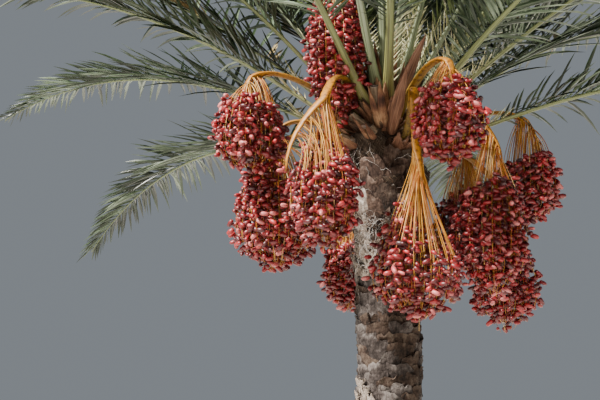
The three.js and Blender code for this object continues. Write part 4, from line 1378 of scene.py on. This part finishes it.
def date_places(bunch):
    """Where each date of a bunch sits, and which way it points"""
    roots, ways = [], []
    for line, share, turn in zip(bunch["strands"], bunch["share"], bunch["turn"]):
        steps = np.linalg.norm(np.diff(line, axis=0), axis=1)
        run = np.concatenate([[0], np.cumsum(steps)])
        level = line[:, 2] - bunch["middle"][2]
        # The fruit begins higher up on one side of the bunch than on the other
        higher = bunch["slant"] * np.cos(np.radians(turn - bunch["high_side"]))
        begins = bunch["begins"] + higher + date_draw.uniform(-BEGINS_VARIES, BEGINS_VARIES)
        first = np.interp(-bunch["depth"] * begins, -level, run)
        spacing = DATE_SPACING * mix(INNER_SPACING, 1.0, share ** 2)
        along = np.arange(first, run[-1], spacing)
        along = along + date_draw.normal(0, spacing * SPACING_VARIES, size=along.shape)
        point = read_off(line, run, along)
        # Neighbours on a strand lean to opposite sides, across the bunch rather than straight out of it
        hand = np.where(np.arange(len(along)) % 2 == 0, 90, -90)
        own = turn + hand + date_draw.normal(0, DATE_LEAN, size=len(along))
        way = outward(own) + outward(turn) * share * date_draw.uniform(*DATE_OUT, size=len(along))[:, None]
        way = unit(way) + UP * date_draw.uniform(*DATE_UP, size=len(along))[:, None]
        # They crowd out over their strand and hide most of it
        roots.append(point + outward(turn) * date_draw.uniform(*CROWDING, size=len(along))[:, None])
        ways.append(unit(way))
    roots = np.concatenate(roots)
    ways = np.concatenate(ways)
    keep = date_draw.uniform(size=len(roots)) < DATES_KEPT
    return roots[keep] + ways[keep] * DATE_STALK, ways[keep]


# Date skin: smooth and waxy, with a faint bloom and shallow wrinkles that catch a soft pinkish light
def skin(name, low, high, gloss):
    material, place = blank(name)
    colour = ramp(material, noise(material, place, 22.0, 2.0), (0.35, low), (0.65, high))
    wrinkles = noise(material, place, 120.0, 3.0)
    return finished(material, colour, gloss, (wrinkles, 0.25, 0.002), IOR=1.5, Coat_Weight=0.38,
                    Coat_Roughness=0.42)


skins = {
    "crimson": (skin("crimson date skin", "#50020A", "#780812", 0.42), 0.37),
    "cherry": (skin("cherry date skin", "#68060E", "#8E121C", 0.44), 0.26),
    "scarlet": (skin("scarlet date skin", "#881318", "#AA2A2E", 0.46), 0.12),
    "maroon": (skin("maroon date skin", "#3A030A", "#540812", 0.42), 0.15),
    "rosy": (skin("rosy date skin", "#AA4144", "#CB7471", 0.50), 0.09),
    "ripe": (skin("ripe date skin", "#2C080D", "#421118", 0.48), 0.01),
}
for bunch in bunches:
    bunch["dates"] = date_places(bunch)
date_roots = np.concatenate([bunch["dates"][0] for bunch in bunches])
date_ways = np.concatenate([bunch["dates"][1] for bunch in bunches])
date_aside = unit(date_draw.normal(size=date_ways.shape))
grown = date_draw.uniform(*DATE_VARIES, size=len(date_roots))
plump = grown * date_draw.uniform(*PLUMP_VARIES, size=len(date_roots))
date_sizes = np.stack([DATE_LENGTH * grown, DATE_THICK * plump, DATE_THICK * plump], axis=-1)
date_cloud = placed(date_shape["points"], date_roots, date_ways, date_aside, date_sizes)
date_skin = spray(date_draw, skins, len(date_roots))
deal("dates", date_shape, date_cloud, skins, date_skin, bunch_nodes)

# Caps: each date keeps the stiff pale cup that its flower left, by which it holds on to the strand
cap_stops = [(0.3, "#B98A50"), (0.7, "#E3CDA4")]
cap_rind = mottled("dry date cap", 0.7, 60.0, 2.0, cap_stops, (0.3, 0.001), IOR=1.45)
cap_sizes = np.tile([CAP_DEPTH, CAP_RADIUS, CAP_RADIUS], (len(date_roots), 1))
cap_cloud = placed(cap_shape["points"], date_roots + date_ways * CAP_SUNK, date_ways, date_aside, cap_sizes)
dress(joined("date_caps", cap_shape, cap_cloud), cap_rind, bunch_nodes)

# Floor, light and camera.
# A pale floor, a soft sun high on the left as the real one stood, and an even pale surround. The camera
# stands at eye height in front of the palm and a little to the left, tilted up at the crown.
EYE = (-0.50025, -9.6, 1.65074)
TILT = 12  # degrees, as are all angles here
LENS = 102.4  # millimetres, as is the sensor
SENSOR = 36
FLOOR_SIZE = 90
FLOOR_LEVEL = -0.002
SUN_STRENGTH = 16
SUN_WIDTH = 5
SUN_FROM_UPRIGHT = 44
SUN_TURN = -54
SURROUND_STRENGTH = 0.29

floor = begin(bpy.ops.mesh.primitive_plane_add, size=FLOOR_SIZE, location=(0, 0, FLOOR_LEVEL))
bpy.ops.object.mode_set(mode="OBJECT")
floor.name = "floor"
plaster, place = blank("pale plaster floor")
colour = ramp(plaster, noise(plaster, place, 3.0, 4.0), (0.3, "#BFBBB3"), (0.7, "#C7C4BD"))
finished(plaster, colour, 0.9)
floor.data.materials.append(plaster)

sun = bpy.data.lights.new("soft sun", "SUN")
sun.energy = SUN_STRENGTH
sun.angle = math.radians(SUN_WIDTH)
sun.color = (1.0, 0.95, 0.88)
sun_object = bpy.data.objects.new("soft_sun", sun)
sun_object.rotation_euler = (math.radians(SUN_FROM_UPRIGHT), 0, math.radians(SUN_TURN))
bpy.context.scene.collection.objects.link(sun_object)

surround = bpy.data.worlds.new("pale surround")
surround.use_nodes = True
surround_light = surround.node_tree.nodes["Background"].inputs
surround_light["Color"].default_value = linear("#DCE6F0")
surround_light["Strength"].default_value = SURROUND_STRENGTH
bpy.context.scene.world = surround

camera = bpy.data.cameras.new("camera")
camera.lens = LENS
camera.sensor_width = SENSOR
camera_object = bpy.data.objects.new("camera", camera)
camera_object.location = EYE
camera_object.rotation_euler = (math.radians(90 + TILT), 0, 0)
bpy.context.scene.collection.objects.link(camera_object)
bpy.context.scene.camera = camera_object


def plain(box):
    """A box's two corners as plain lists of numbers"""
    return [[float(value) for value in corner] for corner in box]
